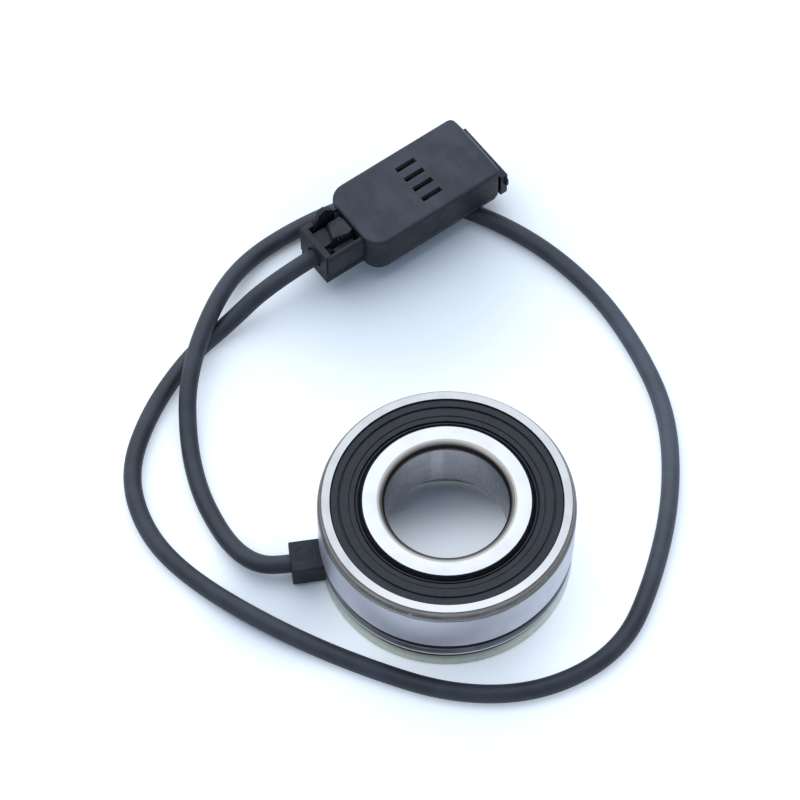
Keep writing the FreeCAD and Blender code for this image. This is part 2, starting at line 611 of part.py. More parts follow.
# Terminals: a folded brass box with a round crimp barrel on its core
terminal_half_w = CELL_WIDTH / 2 - TERMINAL_GAP
terminal_half_h = CELL_HEIGHT / 2 - TERMINAL_GAP
terminal_x1 = shell_x1 - TERMINAL_SET_BACK
terminal_x0 = terminal_x1 - TERMINAL_LENGTH
core_r = CORE_D / 2
barrel_r = core_r + FACE_GAP + TERMINAL_WALL
terminals = []
plug_cores = []
for y, offset in zip(slot_y, core_row):
    tip = V(terminal_x0, y, cell_z)
    body = box(terminal_x0, terminal_x1, y - terminal_half_w, y + terminal_half_w,
               cell_z - terminal_half_h, cell_z + terminal_half_h)
    hollow = box(terminal_x0 + TERMINAL_WALL, terminal_x1 + 1, y - terminal_half_w + TERMINAL_WALL,
                 y + terminal_half_w - TERMINAL_WALL, cell_z - terminal_half_h + TERMINAL_WALL,
                 cell_z + terminal_half_h - TERMINAL_WALL)
    barrel = rod(barrel_r, tip - V(TERMINAL_TAIL, 0, 0), tip + V(TERMINAL_WALL / 2, 0, 0))
    wire_hole = rod(core_r + FACE_GAP, tip - V(TERMINAL_TAIL + 1, 0, 0), tip)
    terminals.append(body.cut(hollow).fuse(barrel).cut(wire_hole).removeSplitter())
    lead_in = V(TERMINAL_TAIL + 2, 0, 0)
    core, _ = tube([(TAIL_DEPTH, offset, CABLE_AXIS_HEIGHT), (TAIL_DEPTH + 4, offset, CABLE_AXIS_HEIGHT),
                    tuple(tip - lead_in), tuple(tip)], CORE_D)
    plug_cores.append(core)
terminals = Part.makeCompound(terminals)
plug_cores = Part.makeCompound(plug_cores)

# Terminal lock: a plate over the mouth with a window before each cell and a hook at one side
lock_half = half - LOCK_INSET
lock_low = LOCK_INSET
lock_high = PLUG_HEIGHT - LOCK_INSET
plate = box(shell_x1, shell_x1 + LOCK_SHEET, -lock_half, lock_half, lock_low, lock_high)
hook_length, hook_width, hook_height = LOCK_HOOK
hook = box(shell_x1, shell_x1 + hook_length, -half, -half + hook_width,
           LOCK_HOOK_HEIGHT, LOCK_HOOK_HEIGHT + hook_height)
windows = []
for y in slot_y:
    windows.append(box(shell_x1 - 1, shell_x1 + 2 * LOCK_SHEET, y - LOCK_WINDOW_WIDTH / 2,
                       y + LOCK_WINDOW_WIDTH / 2, cell_z - LOCK_WINDOW_HEIGHT / 2,
                       cell_z + LOCK_WINDOW_HEIGHT / 2))
terminal_lock = plate.fuse(hook).cut(windows).removeSplitter()

# Every piece with its name, the plug's pieces moved to where the plug lies
pieces = {
    "outer_ring": outer_ring, "inner_ring": inner_ring, "cage_upper": cage_upper, "cage_lower": cage_lower,
    "cage_rivets": cage_rivets, "seal_stiffener": seal_stiffener, "seal_rubber": seal_rubber,
    "impulse_ring_carrier": impulse_ring_carrier, "magnet_ring": magnet_ring, "sensor_body": sensor_body,
    "sensor_cap": sensor_cap, "retaining_ring": retaining_ring, "circuit_board": circuit_board,
    "potting_resin": potting_resin, "signal_chip": signal_chip, "board_components": board_components,
    "cable_exit_block": cable_exit_block, "cable_root": cable_root, "cable_cores": cable_cores,
    "sensor_cable": sensor_cable,
}
for number, ball in enumerate(balls, 1):
    pieces["ball_%d" % number] = ball
for number, hall_sensor in enumerate(hall_sensors, 1):
    pieces["hall_sensor_%d" % number] = hall_sensor
plug_place = FreeCAD.Placement(V(*PLUG_AT), FreeCAD.Rotation(UP, PLUG_TURN))
plug_pieces = {
    "plug_cover": plug_cover, "plug_base": plug_base, "cable_clamp": cable_clamp, "cable_tail": cable_tail,
    "contact_carrier": contact_carrier, "terminals": terminals, "plug_cores": plug_cores,
    "terminal_lock": terminal_lock,
}
for name, shape in plug_pieces.items():
    pieces[name] = shape.transformed(plug_place.toMatrix())

os.makedirs("parts", exist_ok=True)
for name, shape in pieces.items():
    if not shape.isValid():
        raise ValueError(name + " is not a valid solid")
    shape.exportStep("parts/%s.step" % name)
    print("%-22s solids %d volume %.1f" % (name, len(shape.Solids), shape.Volume))
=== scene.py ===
"""Sensor bearing with its cable and plug on a pale table: each piece's finish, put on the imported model."""
import json
import math
import bmesh
import bpy
from mathutils import Matrix, Vector


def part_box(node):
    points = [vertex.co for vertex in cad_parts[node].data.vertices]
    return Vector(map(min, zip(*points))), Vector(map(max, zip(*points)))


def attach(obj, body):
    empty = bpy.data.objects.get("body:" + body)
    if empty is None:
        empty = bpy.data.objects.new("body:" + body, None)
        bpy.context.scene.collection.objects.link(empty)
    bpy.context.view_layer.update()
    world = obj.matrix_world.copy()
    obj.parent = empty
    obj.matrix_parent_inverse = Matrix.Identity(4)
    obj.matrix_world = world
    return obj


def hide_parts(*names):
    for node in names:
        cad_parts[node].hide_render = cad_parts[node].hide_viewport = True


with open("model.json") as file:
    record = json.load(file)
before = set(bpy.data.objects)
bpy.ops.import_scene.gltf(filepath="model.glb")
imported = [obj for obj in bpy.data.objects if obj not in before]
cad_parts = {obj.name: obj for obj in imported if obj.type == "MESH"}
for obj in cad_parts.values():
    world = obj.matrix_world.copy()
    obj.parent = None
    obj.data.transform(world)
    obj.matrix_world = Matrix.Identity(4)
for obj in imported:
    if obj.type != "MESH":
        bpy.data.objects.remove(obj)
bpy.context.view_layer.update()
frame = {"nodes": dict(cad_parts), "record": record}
MM = 0.001

# Camera
# It stands in front of the bearing and well above it with a long lens, as the photograph was taken.
# The ring's top then shows as a wide ellipse, with the outside of the ring below it.
CAMERA_PLACE = Vector((-54.05, -309.59, 594.82)) * MM
CAMERA_TURN = math.radians(-8.222)
CAMERA_TILT = math.radians(30.491)
CAMERA_ROLL = math.radians(-0.4)
camera_data = bpy.data.cameras.new("camera")
camera_data.lens = 147.6
camera = bpy.data.objects.new("camera", camera_data)
camera.matrix_world = (Matrix.Translation(CAMERA_PLACE) @ Matrix.Rotation(CAMERA_TURN, 4, "Z")
                       @ Matrix.Rotation(CAMERA_TILT, 4, "X") @ Matrix.Rotation(CAMERA_ROLL, 4, "Z"))
bpy.context.scene.collection.objects.link(camera)
bpy.context.scene.camera = camera


# Cable
# A four-core control cable with a soft, matte, slate-black jacket. It is moulded into the block on the
# sensor, runs once round the bearing on the table, crosses over itself and under the plug, and ends in the
# plug's clamp.
CABLE_D = 3.8 * MM
TABLE_Z = 1.9
HUMP_Z = 6.1
CABLE_ROUTE = [
    (-32.0, 0.0, 4.0), (-36.0, 0.0, 4.0), (-39.6, 1.9, 3.4), (-42.6, 5.4, 2.6),
    (-45.4, 11.0, TABLE_Z), (-48.4, 20.6, TABLE_Z), (-49.3, 33.0, TABLE_Z), (-47.6, 46.0, HUMP_Z),
    (-40.4, 62.4, HUMP_Z), (-32.2, 75.2, TABLE_Z), (-18.3, 82.8, TABLE_Z), (-2.5, 87.6, TABLE_Z),
    (13.2, 84.3, TABLE_Z), (29.3, 72.5, TABLE_Z), (40.8, 57.4, TABLE_Z), (47.4, 41.2, TABLE_Z),
    (50.8, 24.0, TABLE_Z), (48.0, 5.0, TABLE_Z), (40.8, -13.2, TABLE_Z), (31.5, -28.2, TABLE_Z),
    (14.8, -35.2, TABLE_Z), (-3.5, -33.3, TABLE_Z), (-22.0, -23.5, TABLE_Z), (-38.0, -12.4, TABLE_Z),
    (-52.7, 0.7, TABLE_Z), (-60.5, 12.7, TABLE_Z), (-62.5, 27.0, TABLE_Z), (-56.4, 41.0, TABLE_Z),
    (-46.7, 53.2, TABLE_Z), (-37.5, 59.8, 2.3), (-28.1, 63.936, 9.0), (-17.49, 69.53, 9.0),
]
JACKET_DARK = (0.016, 0.020, 0.029, 1)
JACKET_WORN = (0.034, 0.041, 0.055, 1)
JACKET_PAINTED_HIGHLIGHT = (0.085, 0.10, 0.122, 1)
HIGHLIGHT_FROM = 34
HIGHLIGHT_TO = 50
JACKET_DUST = (0.16, 0.18, 0.20, 1)


class Socket:
    """An output of a shader node. Sums on it add Math nodes, and add() makes any other node."""

    def __init__(self, tree, socket):
        self.tree = tree
        self.socket = socket

    def add(self, kind, settings, inputs, output=0):
        made = self.tree.nodes.new(kind)
        for name, value in settings.items():
            if name == "stops":
                stops = made.color_ramp.elements
                for place, (where, colour) in enumerate(value):
                    stop = stops[place] if place < 2 else stops.new(where)
                    stop.position = where
                    stop.color = colour
            else:
                setattr(made, name, value)
        for name, value in inputs.items():
            if isinstance(value, Socket):
                self.tree.links.new(value.socket, made.inputs[name])
            else:
                made.inputs[name].default_value = value
        return Socket(self.tree, made.outputs[output])

    def maths(self, operation, one, two):
        return self.add("ShaderNodeMath", {"operation": operation}, {0: one, 1: two})

    def __add__(self, other):
        return self.maths("ADD", self, other)

    def __sub__(self, other):
        return self.maths("SUBTRACT", self, other)

    def __rsub__(self, other):
        return self.maths("SUBTRACT", other, self)

    def __mul__(self, other):
        return self.maths("MULTIPLY", self, other)

    def __truediv__(self, other):
        return self.maths("DIVIDE", self, other)

    __radd__ = __add__
    __rmul__ = __mul__

    def capped(self):
        return self.maths("MINIMUM", self, 1.0)

    def noise(self, scale, detail=2.0):
        return self.add("ShaderNodeTexNoise", {}, {"Vector": self, "Scale": scale, "Detail": detail})

    def between(self, low, high):
        """0 below low, 1 above high, smooth from one to the other."""
        return self.add("ShaderNodeMapRange", {"interpolation_type": "SMOOTHSTEP"},
                        {"Value": self, "From Min": low, "From Max": high})

    def blend(self, one, two):
        """One colour where this mask is 0 and the other where it is 1."""
        return self.add("ShaderNodeMix", {"data_type": "RGBA"}, {0: self, 6: one, 7: two}, output=2)

    def stretched(self, x, y, z):
        return self.add("ShaderNodeMapping", {}, {"Vector": self, "Scale": (x, y, z)})

    def moved(self, x, y):
        return self.add("ShaderNodeMapping", {}, {"Vector": self, "Location": (x, y, 0)})

    def radius(self):
        """Distance from the upright axis."""
        flat = self.stretched(1, 1, 0)
        return flat.add("ShaderNodeVectorMath", {"operation": "LENGTH"}, {0: flat}, output=1)

    def part(self, axis):
        """One of the three parts of a place: 0, 1 or 2."""
        return self.add("ShaderNodeSeparateXYZ", {}, {0: self}, output=axis)

    def bumped(self, depth):
        """Normal of a surface with this height, of the given depth in millimetres."""
        return self.add("ShaderNodeBump", {}, {"Height": self, "Strength": 1.0, "Distance": depth * MM})


def new_finish(name, **constants):
    """A material, its shader and the place on the piece in millimetres."""
    material = bpy.data.materials.new(name)
    material.use_nodes = True
    tree = material.node_tree
    shader = tree.nodes["Principled BSDF"]
    for socket, value in constants.items():
        shader.inputs[socket.replace("_", " ")].default_value = value
    spot = Socket(tree, tree.nodes.new("ShaderNodeTexCoord").outputs["Object"])
    return material, shader, spot.stretched(1 / MM, 1 / MM, 1 / MM)


def put_on(shader, **varying):
    """Links what changes over the surface to the shader."""
    for socket, value in varying.items():
        value.tree.links.new(value.socket, shader.inputs[socket.replace("_", " ")])


def jacket_finish():
    """Matte soft plastic, paler where it was handled, with a painted highlight on its right side and a few
    specks of dust.
    """
    material, shader, spot = new_finish("cable_jacket", Specular_IOR_Level=0.35)
    handled = spot.noise(0.12, 3).between(0.35, 0.7)
    grain = spot.noise(6.0, 3)
    dust = spot.noise(3.4, 1).between(0.79, 0.83)
    # Painted highlight: the jacket is drawn paler towards its right side.
    paler_mask = spot.part(0).between(HIGHLIGHT_FROM, HIGHLIGHT_TO) * (handled * 0.3 + 0.45)
    colour = paler_mask.blend(handled.blend(JACKET_DARK, JACKET_WORN), JACKET_PAINTED_HIGHLIGHT)
    put_on(shader, Base_Color=dust.blend(colour, JACKET_DUST),
           Roughness=handled * 0.1 + grain * 0.08 + 0.44, Normal=grain.bumped(0.03))
    return material


cable_jacket = jacket_finish()
cable_line = bpy.data.curves.new("cable", "CURVE")
cable_line.dimensions = "3D"
cable_line.resolution_u = 14
cable_line.bevel_depth = CABLE_D / 2
cable_line.bevel_resolution = 7
cable_line.use_fill_caps = True
run = cable_line.splines.new("NURBS")
run.points.add(len(CABLE_ROUTE) - 1)
for point, place in zip(run.points, CABLE_ROUTE):
    point.co = (*(Vector(place) * MM), 1)
run.order_u = 3
run.use_endpoint_u = True
cable_line.materials.append(cable_jacket)
cable = bpy.data.objects.new("cable", cable_line)
bpy.context.scene.collection.objects.link(cable)
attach(cable, "stator")
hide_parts("sensor_cable")


# Cable ends
# Inside the block and inside the plug the jacket goes on for a few millimetres, and then the four cores run
# on by themselves. They are CAD pieces that stay as they are.
CORE_COLOUR = (0.33, 0.30, 0.26, 1)
CORE_SOILED = (0.24, 0.21, 0.18, 1)


def dressed(finish, *names):
    """Puts a finish on CAD pieces that keep their shape."""
    for name in names:
        for place in frame["nodes"][name].material_slots:
            place.material = finish


def core_finish():
    """Smooth pale insulation, slightly soiled."""
    material, shader, spot = new_finish("core_insulation", Roughness=0.42)
    soil = spot.noise(0.9, 3).between(0.4, 0.75)
    put_on(shader, Base_Color=soil.blend(CORE_COLOUR, CORE_SOILED))
    return material


dressed(cable_jacket, "cable_root", "cable_tail")
dressed(core_finish(), "cable_cores", "plug_cores")


# Plug
# A free-hanging connector of moulded black plastic. The cover snaps over a base, whose neck clamps the
# cable, and the far end takes four flat pins. It was handled, so its top has a soft mottled sheen. A painted
# highlight runs along the edge of its mouth, and its sides and base are a darker copy of the plastic,
# as painted shade.
PLUG_AT = (-17.49, 69.53, 4.1)
PLUG_TURN = math.radians(27.8)
SHELL_X0 = 9.3
SHELL_X1 = 43.2
SHELL_HALF = 8.9
SHELL_TOP = 10.0
SHELL_WALL = 1.3
SHELL_CORNER = 4.2
MOUTH_CORNER = 1.5
SHELL_EDGE = 0.6
FLOOR_TOP = 1.4
SLOT_X = (25.1, 30.1)
SLOT_WIDTH = 1.2
SLOT_PITCH = 3.1
CABLE_AXIS = 4.9
CABLE_ROOM = 2.15
BASE_INSET = 0.4
NECK_HALF = 4.5
NECK_TOP = 9.5
ARCH_THICK = 1.5
ARCH_ROOM = 2.25
WALL_OUT = 5.3
WALL_FOOT = 3.5
WALL_ROUND = 0.9
BLADE = [(3.1, 6.4), (4.4, 11.6), (5.9, 12.5), (7.9, 10.9), (8.5, 8.8), (8.5, 3), (3.1, 3)]
BLADE_Y = (4.05, 5.25)
PAD_FOOT = [(2.9, -1.2), (7.2, -2.2), (9.2, -1.8), (9.2, 2.2), (8.6, 3.5), (4.6, 3.5)]
PAD_LOW = 6.2
PAD_TOP = 9.1
PAD_TAPER = (0.75, 0.82, 1)
PAD_STAYS = Vector((9.2, 0.8, 0))
PAD_TEETH = (5.1, 6.0, 6.9, 7.8)
LOCK_Y = (-8.8, 6.4)
LOCK_Z = (0.7, 7.1)
LOCK_THICK = 1.8
PIN_Z = (3.78, 6.18)
PIN_HALF = 0.75
BARB = [(43.9, -8.7), (44.9, -8.7), (44.7, -9.6), (44.2, -9.5)]
NEAR = 0.01
SAME_PLACE = 0.0005
SHARP = math.radians(32)
SHELL_DARK = (0.009, 0.014, 0.023, 1)
SHELL_WORN = (0.019, 0.027, 0.043, 1)
SHELL_EDGE_HIGHLIGHT = (0.10, 0.12, 0.155, 1)
SHELL_SCRATCH = (0.10, 0.11, 0.13, 1)
SHELL_DUST = (0.22, 0.24, 0.26, 1)
SIDE_SHADE_DARK = (0.005, 0.007, 0.011, 1)
SIDE_SHADE_WORN = (0.012, 0.015, 0.022, 1)
PARTING_PALE = (0.15, 0.17, 0.20, 1)
MOULD_SPECK = (0.17, 0.18, 0.20, 1)


def add_piece(name, mesh, finishes, body, slot, *nodes):
    """Object of a finished mesh, which rides on a body and stands for CAD nodes."""
    bmesh.ops.remove_doubles(mesh, verts=mesh.verts, dist=SAME_PLACE * MM)
    bmesh.ops.recalc_face_normals(mesh, faces=mesh.faces)
    for face in mesh.faces:
        face.smooth = True
    for edge in mesh.edges:
        edge.smooth = len(edge.link_faces) == 2 and edge.calc_face_angle() < SHARP
    data = bpy.data.meshes.new(name)
    mesh.to_mesh(data)
    mesh.free()
    for finish in finishes:
        data.materials.append(finish)
    made = bpy.data.objects.new(name, data)
    bpy.context.scene.collection.objects.link(made)
    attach(made, body)
    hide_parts(*nodes)
    return made


def soften(made, width):
    """Small round on every sharp edge."""
    edge = made.modifiers.new("softened edges", "BEVEL")
    edge.width = width * MM
    edge.segments = 2
    edge.limit_method = "ANGLE"
    edge.angle_limit = SHARP
    edge.harden_normals = True


def on_plug(spot):
    """The place on the plug, with x along it from its neck."""
    return spot.add("ShaderNodeMapping", {"vector_type": "TEXTURE"},
                    {"Vector": spot, "Location": PLUG_AT, "Rotation": (0, 0, PLUG_TURN)})


def moulded_finish(name, dark, brighter_mask, roughness):
    """Spark-eroded moulded plastic: fine even grain, with broad soft patches where fingers polished it."""
    material, shader, spot = new_finish(name, Specular_IOR_Level=0.3)
    patches = spot.noise(0.16, 4).between(0.35, 0.7)
    grain = spot.noise(7.0, 2)
    specks = spot.noise(2.3, 1).between(0.80, 0.83)
    colour = patches.blend(dark, brighter_mask)
    put_on(shader, Base_Color=specks.blend(colour, MOULD_SPECK),
           Roughness=roughness - patches * 0.1 + grain * 0.06, Normal=grain.bumped(0.02))
    return material


def cover_finish():
    """The same plastic with rubbed streaks on its top, fine scratches and a painted highlight along the edge
    at the mouth.
    """
    material, shader, spot = new_finish("plug_cover", Specular_IOR_Level=0.36)
    place = on_plug(spot)
    patches = place.noise(0.17, 4).between(0.34, 0.7)
    streaks = place.stretched(0.5, 0.12, 1).noise(1.0, 3).between(0.45, 0.75)
    scratches = place.stretched(0.35, 6, 1).noise(1.0, 3).between(0.66, 0.78)
    grain = place.noise(6.0, 3)
    specks = place.noise(2.6, 1).between(0.79, 0.83)
    # Painted highlight: a pale line along the edge of the mouth.
    mouth_edge_highlight = place.part(0).between(SHELL_X1 - 0.45, SHELL_X1 - 0.3)
    colour = (patches * 0.65 + streaks * 0.35).blend(SHELL_DARK, SHELL_WORN)
    colour = (scratches * 0.25).blend(colour, SHELL_SCRATCH)
    colour = specks.blend(colour, SHELL_DUST)
    put_on(shader, Base_Color=(mouth_edge_highlight * 0.8).blend(colour, SHELL_EDGE_HIGHLIGHT),
           Roughness=0.54 - patches * 0.1 - streaks * 0.06 + grain * 0.06, Normal=grain.bumped(0.02))
    return material


def side_finish():
    """The cover's sides: the same plastic, darker as painted shade, with a pale broken line where cover and
    base meet.
    """
    material, shader, spot = new_finish("plug_side", Specular_IOR_Level=0.3)
    place = on_plug(spot)
    patches = place.noise(0.16, 4).between(0.35, 0.7)
    grain = place.noise(7.0, 2)
    broken = place.noise(0.9, 3).between(0.46, 0.62)
    line = (1 - place.part(2).between(FLOOR_TOP + 0.2, FLOOR_TOP + 0.34)) * (broken * 0.6 + 0.2)
    colour = patches.blend(SIDE_SHADE_DARK, SIDE_SHADE_WORN)
    put_on(shader, Base_Color=line.blend(colour, PARTING_PALE),
           Roughness=0.55 - patches * 0.1 + grain * 0.06, Normal=grain.bumped(0.02))
    return material


def shell_plan(inset):
    """The shell seen from above, with two small round corners at the mouth and two big ones at the neck."""
    mouth = SHELL_X1 - MOUTH_CORNER
    neck = SHELL_X0 + SHELL_CORNER
    corners = [(mouth, -1, MOUTH_CORNER), (mouth, 1, MOUTH_CORNER),
               (neck, 1, SHELL_CORNER), (neck, -1, SHELL_CORNER)]
    plan = []
    for quarter, (centre_x, side, radius) in enumerate(corners):
        for step in range(9):
            angle = math.radians(90 * (quarter - 1) + 11.25 * step)
            plan.append((centre_x + (radius - inset) * math.cos(angle),
                         side * (SHELL_HALF - radius) + (radius - inset) * math.sin(angle)))
    return plan


def add_prism(mesh, outline, low, high, axis="Z"):
    """Adds a solid with an outline across one axis of the plug, between two places on that axis."""
    place_of = {"X": lambda a, b, c: (c, a, b),
                "Y": lambda a, b, c: (a, c, b),
                "Z": lambda a, b, c: (a, b, c)}[axis]
    face = mesh.faces.new([mesh.verts.new(Vector(place_of(a, b, low)) * MM) for a, b in outline])
    drawn = bmesh.ops.extrude_face_region(mesh, geom=[face])
    bmesh.ops.translate(mesh, vec=Vector(place_of(0, 0, high - low)) * MM,
                        verts=[part for part in drawn["geom"] if isinstance(part, bmesh.types.BMVert)])


def box_plan(low_a, high_a, low_b, high_b):
    return [(low_a, low_b), (high_a, low_b), (high_a, high_b), (low_a, high_b)]


def split_at(mesh, axis, *places):
    """Cuts a mesh into strips at places on one of its axes."""
    direction = Vector([1 if number == axis else 0 for number in range(3)])
    for place in places:
        bmesh.ops.bisect_plane(mesh, geom=mesh.verts[:] + mesh.edges[:] + mesh.faces[:],
                               dist=0.0001 * MM, plane_co=direction * place * MM, plane_no=direction)


def drop_faces(mesh, unwanted):
    """Removes the faces whose centre, in millimetres, a rule picks."""
    gone = [face for face in mesh.faces if unwanted(face.calc_center_median() / MM)]
    bmesh.ops.delete(mesh, geom=gone, context="FACES")


def onto_plug(mesh):
    """Moves a mesh from the plug's own axes to where the plug lies."""
    place = Matrix.Translation(Vector(PLUG_AT) * MM) @ Matrix.Rotation(PLUG_TURN, 4, "Z")
    bmesh.ops.transform(mesh, matrix=place, verts=mesh.verts)
    return mesh


def thickened(made, sheet, offset):
    """Gives a sheet its thickness."""
    wall = made.modifiers.new("sheet thickness", "SOLIDIFY")
    wall.thickness = sheet * MM
    wall.offset = offset
    wall.use_even_offset = True
    return wall


# The cover has four slots over the contacts, an open mouth and an opening for the cable.
slot_rows = [SLOT_PITCH * (row - 1.5) for row in range(4)]
cover_mesh = bmesh.new()
add_prism(cover_mesh, shell_plan(0), FLOOR_TOP, SHELL_TOP)
drop_faces(cover_mesh, lambda centre: centre.z < FLOOR_TOP + NEAR)
top_rim = [edge for edge in cover_mesh.edges
           if min(vert.co.z for vert in edge.verts) > (SHELL_TOP - NEAR) * MM
           and min(vert.co.x for vert in edge.verts) < (SHELL_X1 - NEAR) * MM]
bmesh.ops.bevel(cover_mesh, geom=top_rim, offset=SHELL_EDGE * MM, offset_type="OFFSET", affect="EDGES",
                segments=3, profile=0.5, material=-1)
split_at(cover_mesh, 0, *SLOT_X)
split_at(cover_mesh, 1, *[row + side * SLOT_WIDTH / 2 for row in slot_rows for side in (-1, 1)])
drop_faces(cover_mesh, lambda centre: centre.z > SHELL_TOP - NEAR and SLOT_X[0] < centre.x < SLOT_X[1]
           and min(abs(centre.y - row) for row in slot_rows) < SLOT_WIDTH / 2)
split_at(cover_mesh, 1, SHELL_WALL - SHELL_HALF, -CABLE_ROOM, CABLE_ROOM, SHELL_HALF - SHELL_WALL)
split_at(cover_mesh, 2, CABLE_AXIS + CABLE_ROOM, SHELL_TOP - SHELL_WALL)
drop_faces(cover_mesh, lambda centre: centre.x > SHELL_X1 - NEAR and centre.z < SHELL_TOP - SHELL_WALL
           and abs(centre.y) < SHELL_HALF - SHELL_WALL)
drop_faces(cover_mesh, lambda centre: centre.x < SHELL_X0 + NEAR and centre.z < CABLE_AXIS + CABLE_ROOM
           and abs(centre.y) < CABLE_ROOM)
# Top faces take the cover's finish, and the sides take the darker copy of the same plastic as painted shade.
for wall in cover_mesh.faces:
    wall.material_index = 0 if wall.normal.z > 0.6 else 1
# The base and its neck take the sides' darker colour too, as painted shade.
shell_plastic = moulded_finish("plug_base", SIDE_SHADE_DARK, (0.011, 0.014, 0.021, 1), 0.55)
# Painted shade: the inside of the shell, the slot walls and the contact carrier are drawn near-black.
inside_shade = moulded_finish("plug_inside", (0.002, 0.002, 0.003, 1), (0.003, 0.003, 0.004, 1), 0.8)
cover = add_piece("plug_shell", onto_plug(cover_mesh), [cover_finish(), side_finish(), inside_shade],
                  "stator", "plug_plastic", "plug_cover")
# The inside faces and the cut rims take the near-black painted shade.
cover_wall = thickened(cover, SHELL_WALL, -1)
cover_wall.material_offset = 2
cover_wall.material_offset_rim = 2
soften(cover, 0.13)

# The base has a floor, and a neck with two walls, an arch over the cable and a hooked blade.
base_mesh = bmesh.new()
add_prism(base_mesh, shell_plan(BASE_INSET), 0, FLOOR_TOP - 0.04)
add_prism(base_mesh, box_plan(0, SHELL_X0 + 3, -NECK_HALF, 4.85), 0.02, FLOOR_TOP)
add_prism(base_mesh, box_plan(0.1, SHELL_X0 + 0.4, -4.4, -4.0), FLOOR_TOP - 0.1, 4)
near_wall = [(-WALL_OUT, WALL_FOOT), (-4.0, WALL_FOOT), (-4.0, 9.15), (-4.2, 9.4)]
near_wall += [(-(WALL_OUT - WALL_ROUND) - WALL_ROUND * math.sin(angle), 8.5 + WALL_ROUND * math.cos(angle))
              for angle in (math.radians(15 * step) for step in range(7))]
add_prism(base_mesh, near_wall, 0.35, SHELL_X0 + 0.1, "X")
add_prism(base_mesh, box_plan(0.1, 3, 4.0, WALL_OUT), FLOOR_TOP - 0.1, NECK_TOP)
add_prism(base_mesh, box_plan(2.9, SHELL_X0 + 0.4, 4.1, 5.2), FLOOR_TOP - 0.1, 7.2)
add_prism(base_mesh, BLADE, *BLADE_Y, "Y")
add_prism(base_mesh, box_plan(8.3, SHELL_X0 + 0.2, 8.6, NECK_TOP), 4.5, 5.0, "Y")
for side in (-1, 1):
    arch = [(side * NECK_HALF, FLOOR_TOP - 0.05), (side * NECK_HALF, NECK_TOP), (0, NECK_TOP)]
    arch += [(side * ARCH_ROOM * math.sin(angle), CABLE_AXIS + ARCH_ROOM * math.cos(angle))
             for angle in (math.radians(15 * step) for step in range(13))]
    arch += [(0, FLOOR_TOP - 0.05)]
    add_prism(base_mesh, arch, 0, ARCH_THICK, "X")
drop_faces(base_mesh, lambda centre: NEAR < centre.x < ARCH_THICK - NEAR and abs(centre.y) < 0.001)
base = add_piece("plug_frame", onto_plug(base_mesh), [shell_plastic], "stator", "plug_plastic", "plug_base")
soften(base, 0.16)

# The clamp is a pad on two legs, with ledges on its sides and four small teeth.
pad_mesh = bmesh.new()
add_prism(pad_mesh, PAD_FOOT, PAD_LOW, PAD_TOP)
pad_top = [vert for vert in pad_mesh.verts if vert.co.z > (PAD_TOP - NEAR) * MM]
bmesh.ops.scale(pad_mesh, vec=PAD_TAPER, verts=pad_top, space=Matrix.Translation(-PAD_STAYS * MM))
add_prism(pad_mesh, box_plan(1.6, 5, -1, 3.3), 6.3, 8)
add_prism(pad_mesh, box_plan(3.6, 8.7, -3.4, -1.8), 6.3, 6.9)
for across in (-3.2, 2.1):
    add_prism(pad_mesh, box_plan(4.2, 7.9, across, across + 1.1), 1.5, 6.6)
for tooth in PAD_TEETH:
    add_prism(pad_mesh, [(tooth, -1.2), (tooth + 0.55, -1.2), (tooth + 0.3, -2.15)], 8.2, 8.8)
clamp_plastic = moulded_finish("clamp_pad", (0.011, 0.013, 0.018, 1), (0.023, 0.025, 0.032, 1), 0.6)
pad = add_piece("clamp_pad", onto_plug(pad_mesh), [clamp_plastic], "stator", "insert_plastic", "cable_clamp")
soften(pad, 0.3)

# The terminal lock is a plate across the mouth, with a square hole for each pin and a barb at its end.
lock_mesh = bmesh.new()
lock_mesh.faces.new([lock_mesh.verts.new(Vector((SHELL_X1, across, height)) * MM)
                     for across, height in box_plan(*LOCK_Y, *LOCK_Z)])
split_at(lock_mesh, 1, *[row + side * PIN_HALF for row in slot_rows for side in (-1, 1)])
split_at(lock_mesh, 2, *PIN_Z)
drop_faces(lock_mesh, lambda centre: PIN_Z[0] < centre.z < PIN_Z[1]
           and min(abs(centre.y - row) for row in slot_rows) < PIN_HALF)
lock_front = bmesh.ops.extrude_face_region(lock_mesh, geom=lock_mesh.faces[:])
bmesh.ops.translate(lock_mesh, vec=(LOCK_THICK * MM, 0, 0),
                    verts=[part for part in lock_front["geom"] if isinstance(part, bmesh.types.BMVert)])
add_prism(lock_mesh, BARB, 4.3, 6.2)
lock_plastic = moulded_finish("contact_insert", (0.004, 0.005, 0.008, 1), (0.009, 0.011, 0.016, 1), 0.5)
lock = add_piece("lock_plate", onto_plug(lock_mesh), [lock_plastic], "stator", "insert_plastic",
                 "terminal_lock")
soften(lock, 0.12)
# The contact carrier under the slots takes the same near-black painted shade.
dressed(inside_shade, "contact_carrier")


def contact_finish():
    """Tinned brass, stamped and folded."""
    material, shader, spot = new_finish("contact_metal", Metallic=1.0)
    marks = spot.stretched(1, 6, 6).noise(2.0, 3)
    put_on(shader, Base_Color=marks.blend((0.72, 0.62, 0.40, 1), (0.62, 0.58, 0.48, 1)),
           Roughness=marks * 0.2 + 0.22)
    return material


dressed(contact_finish(), "terminals")


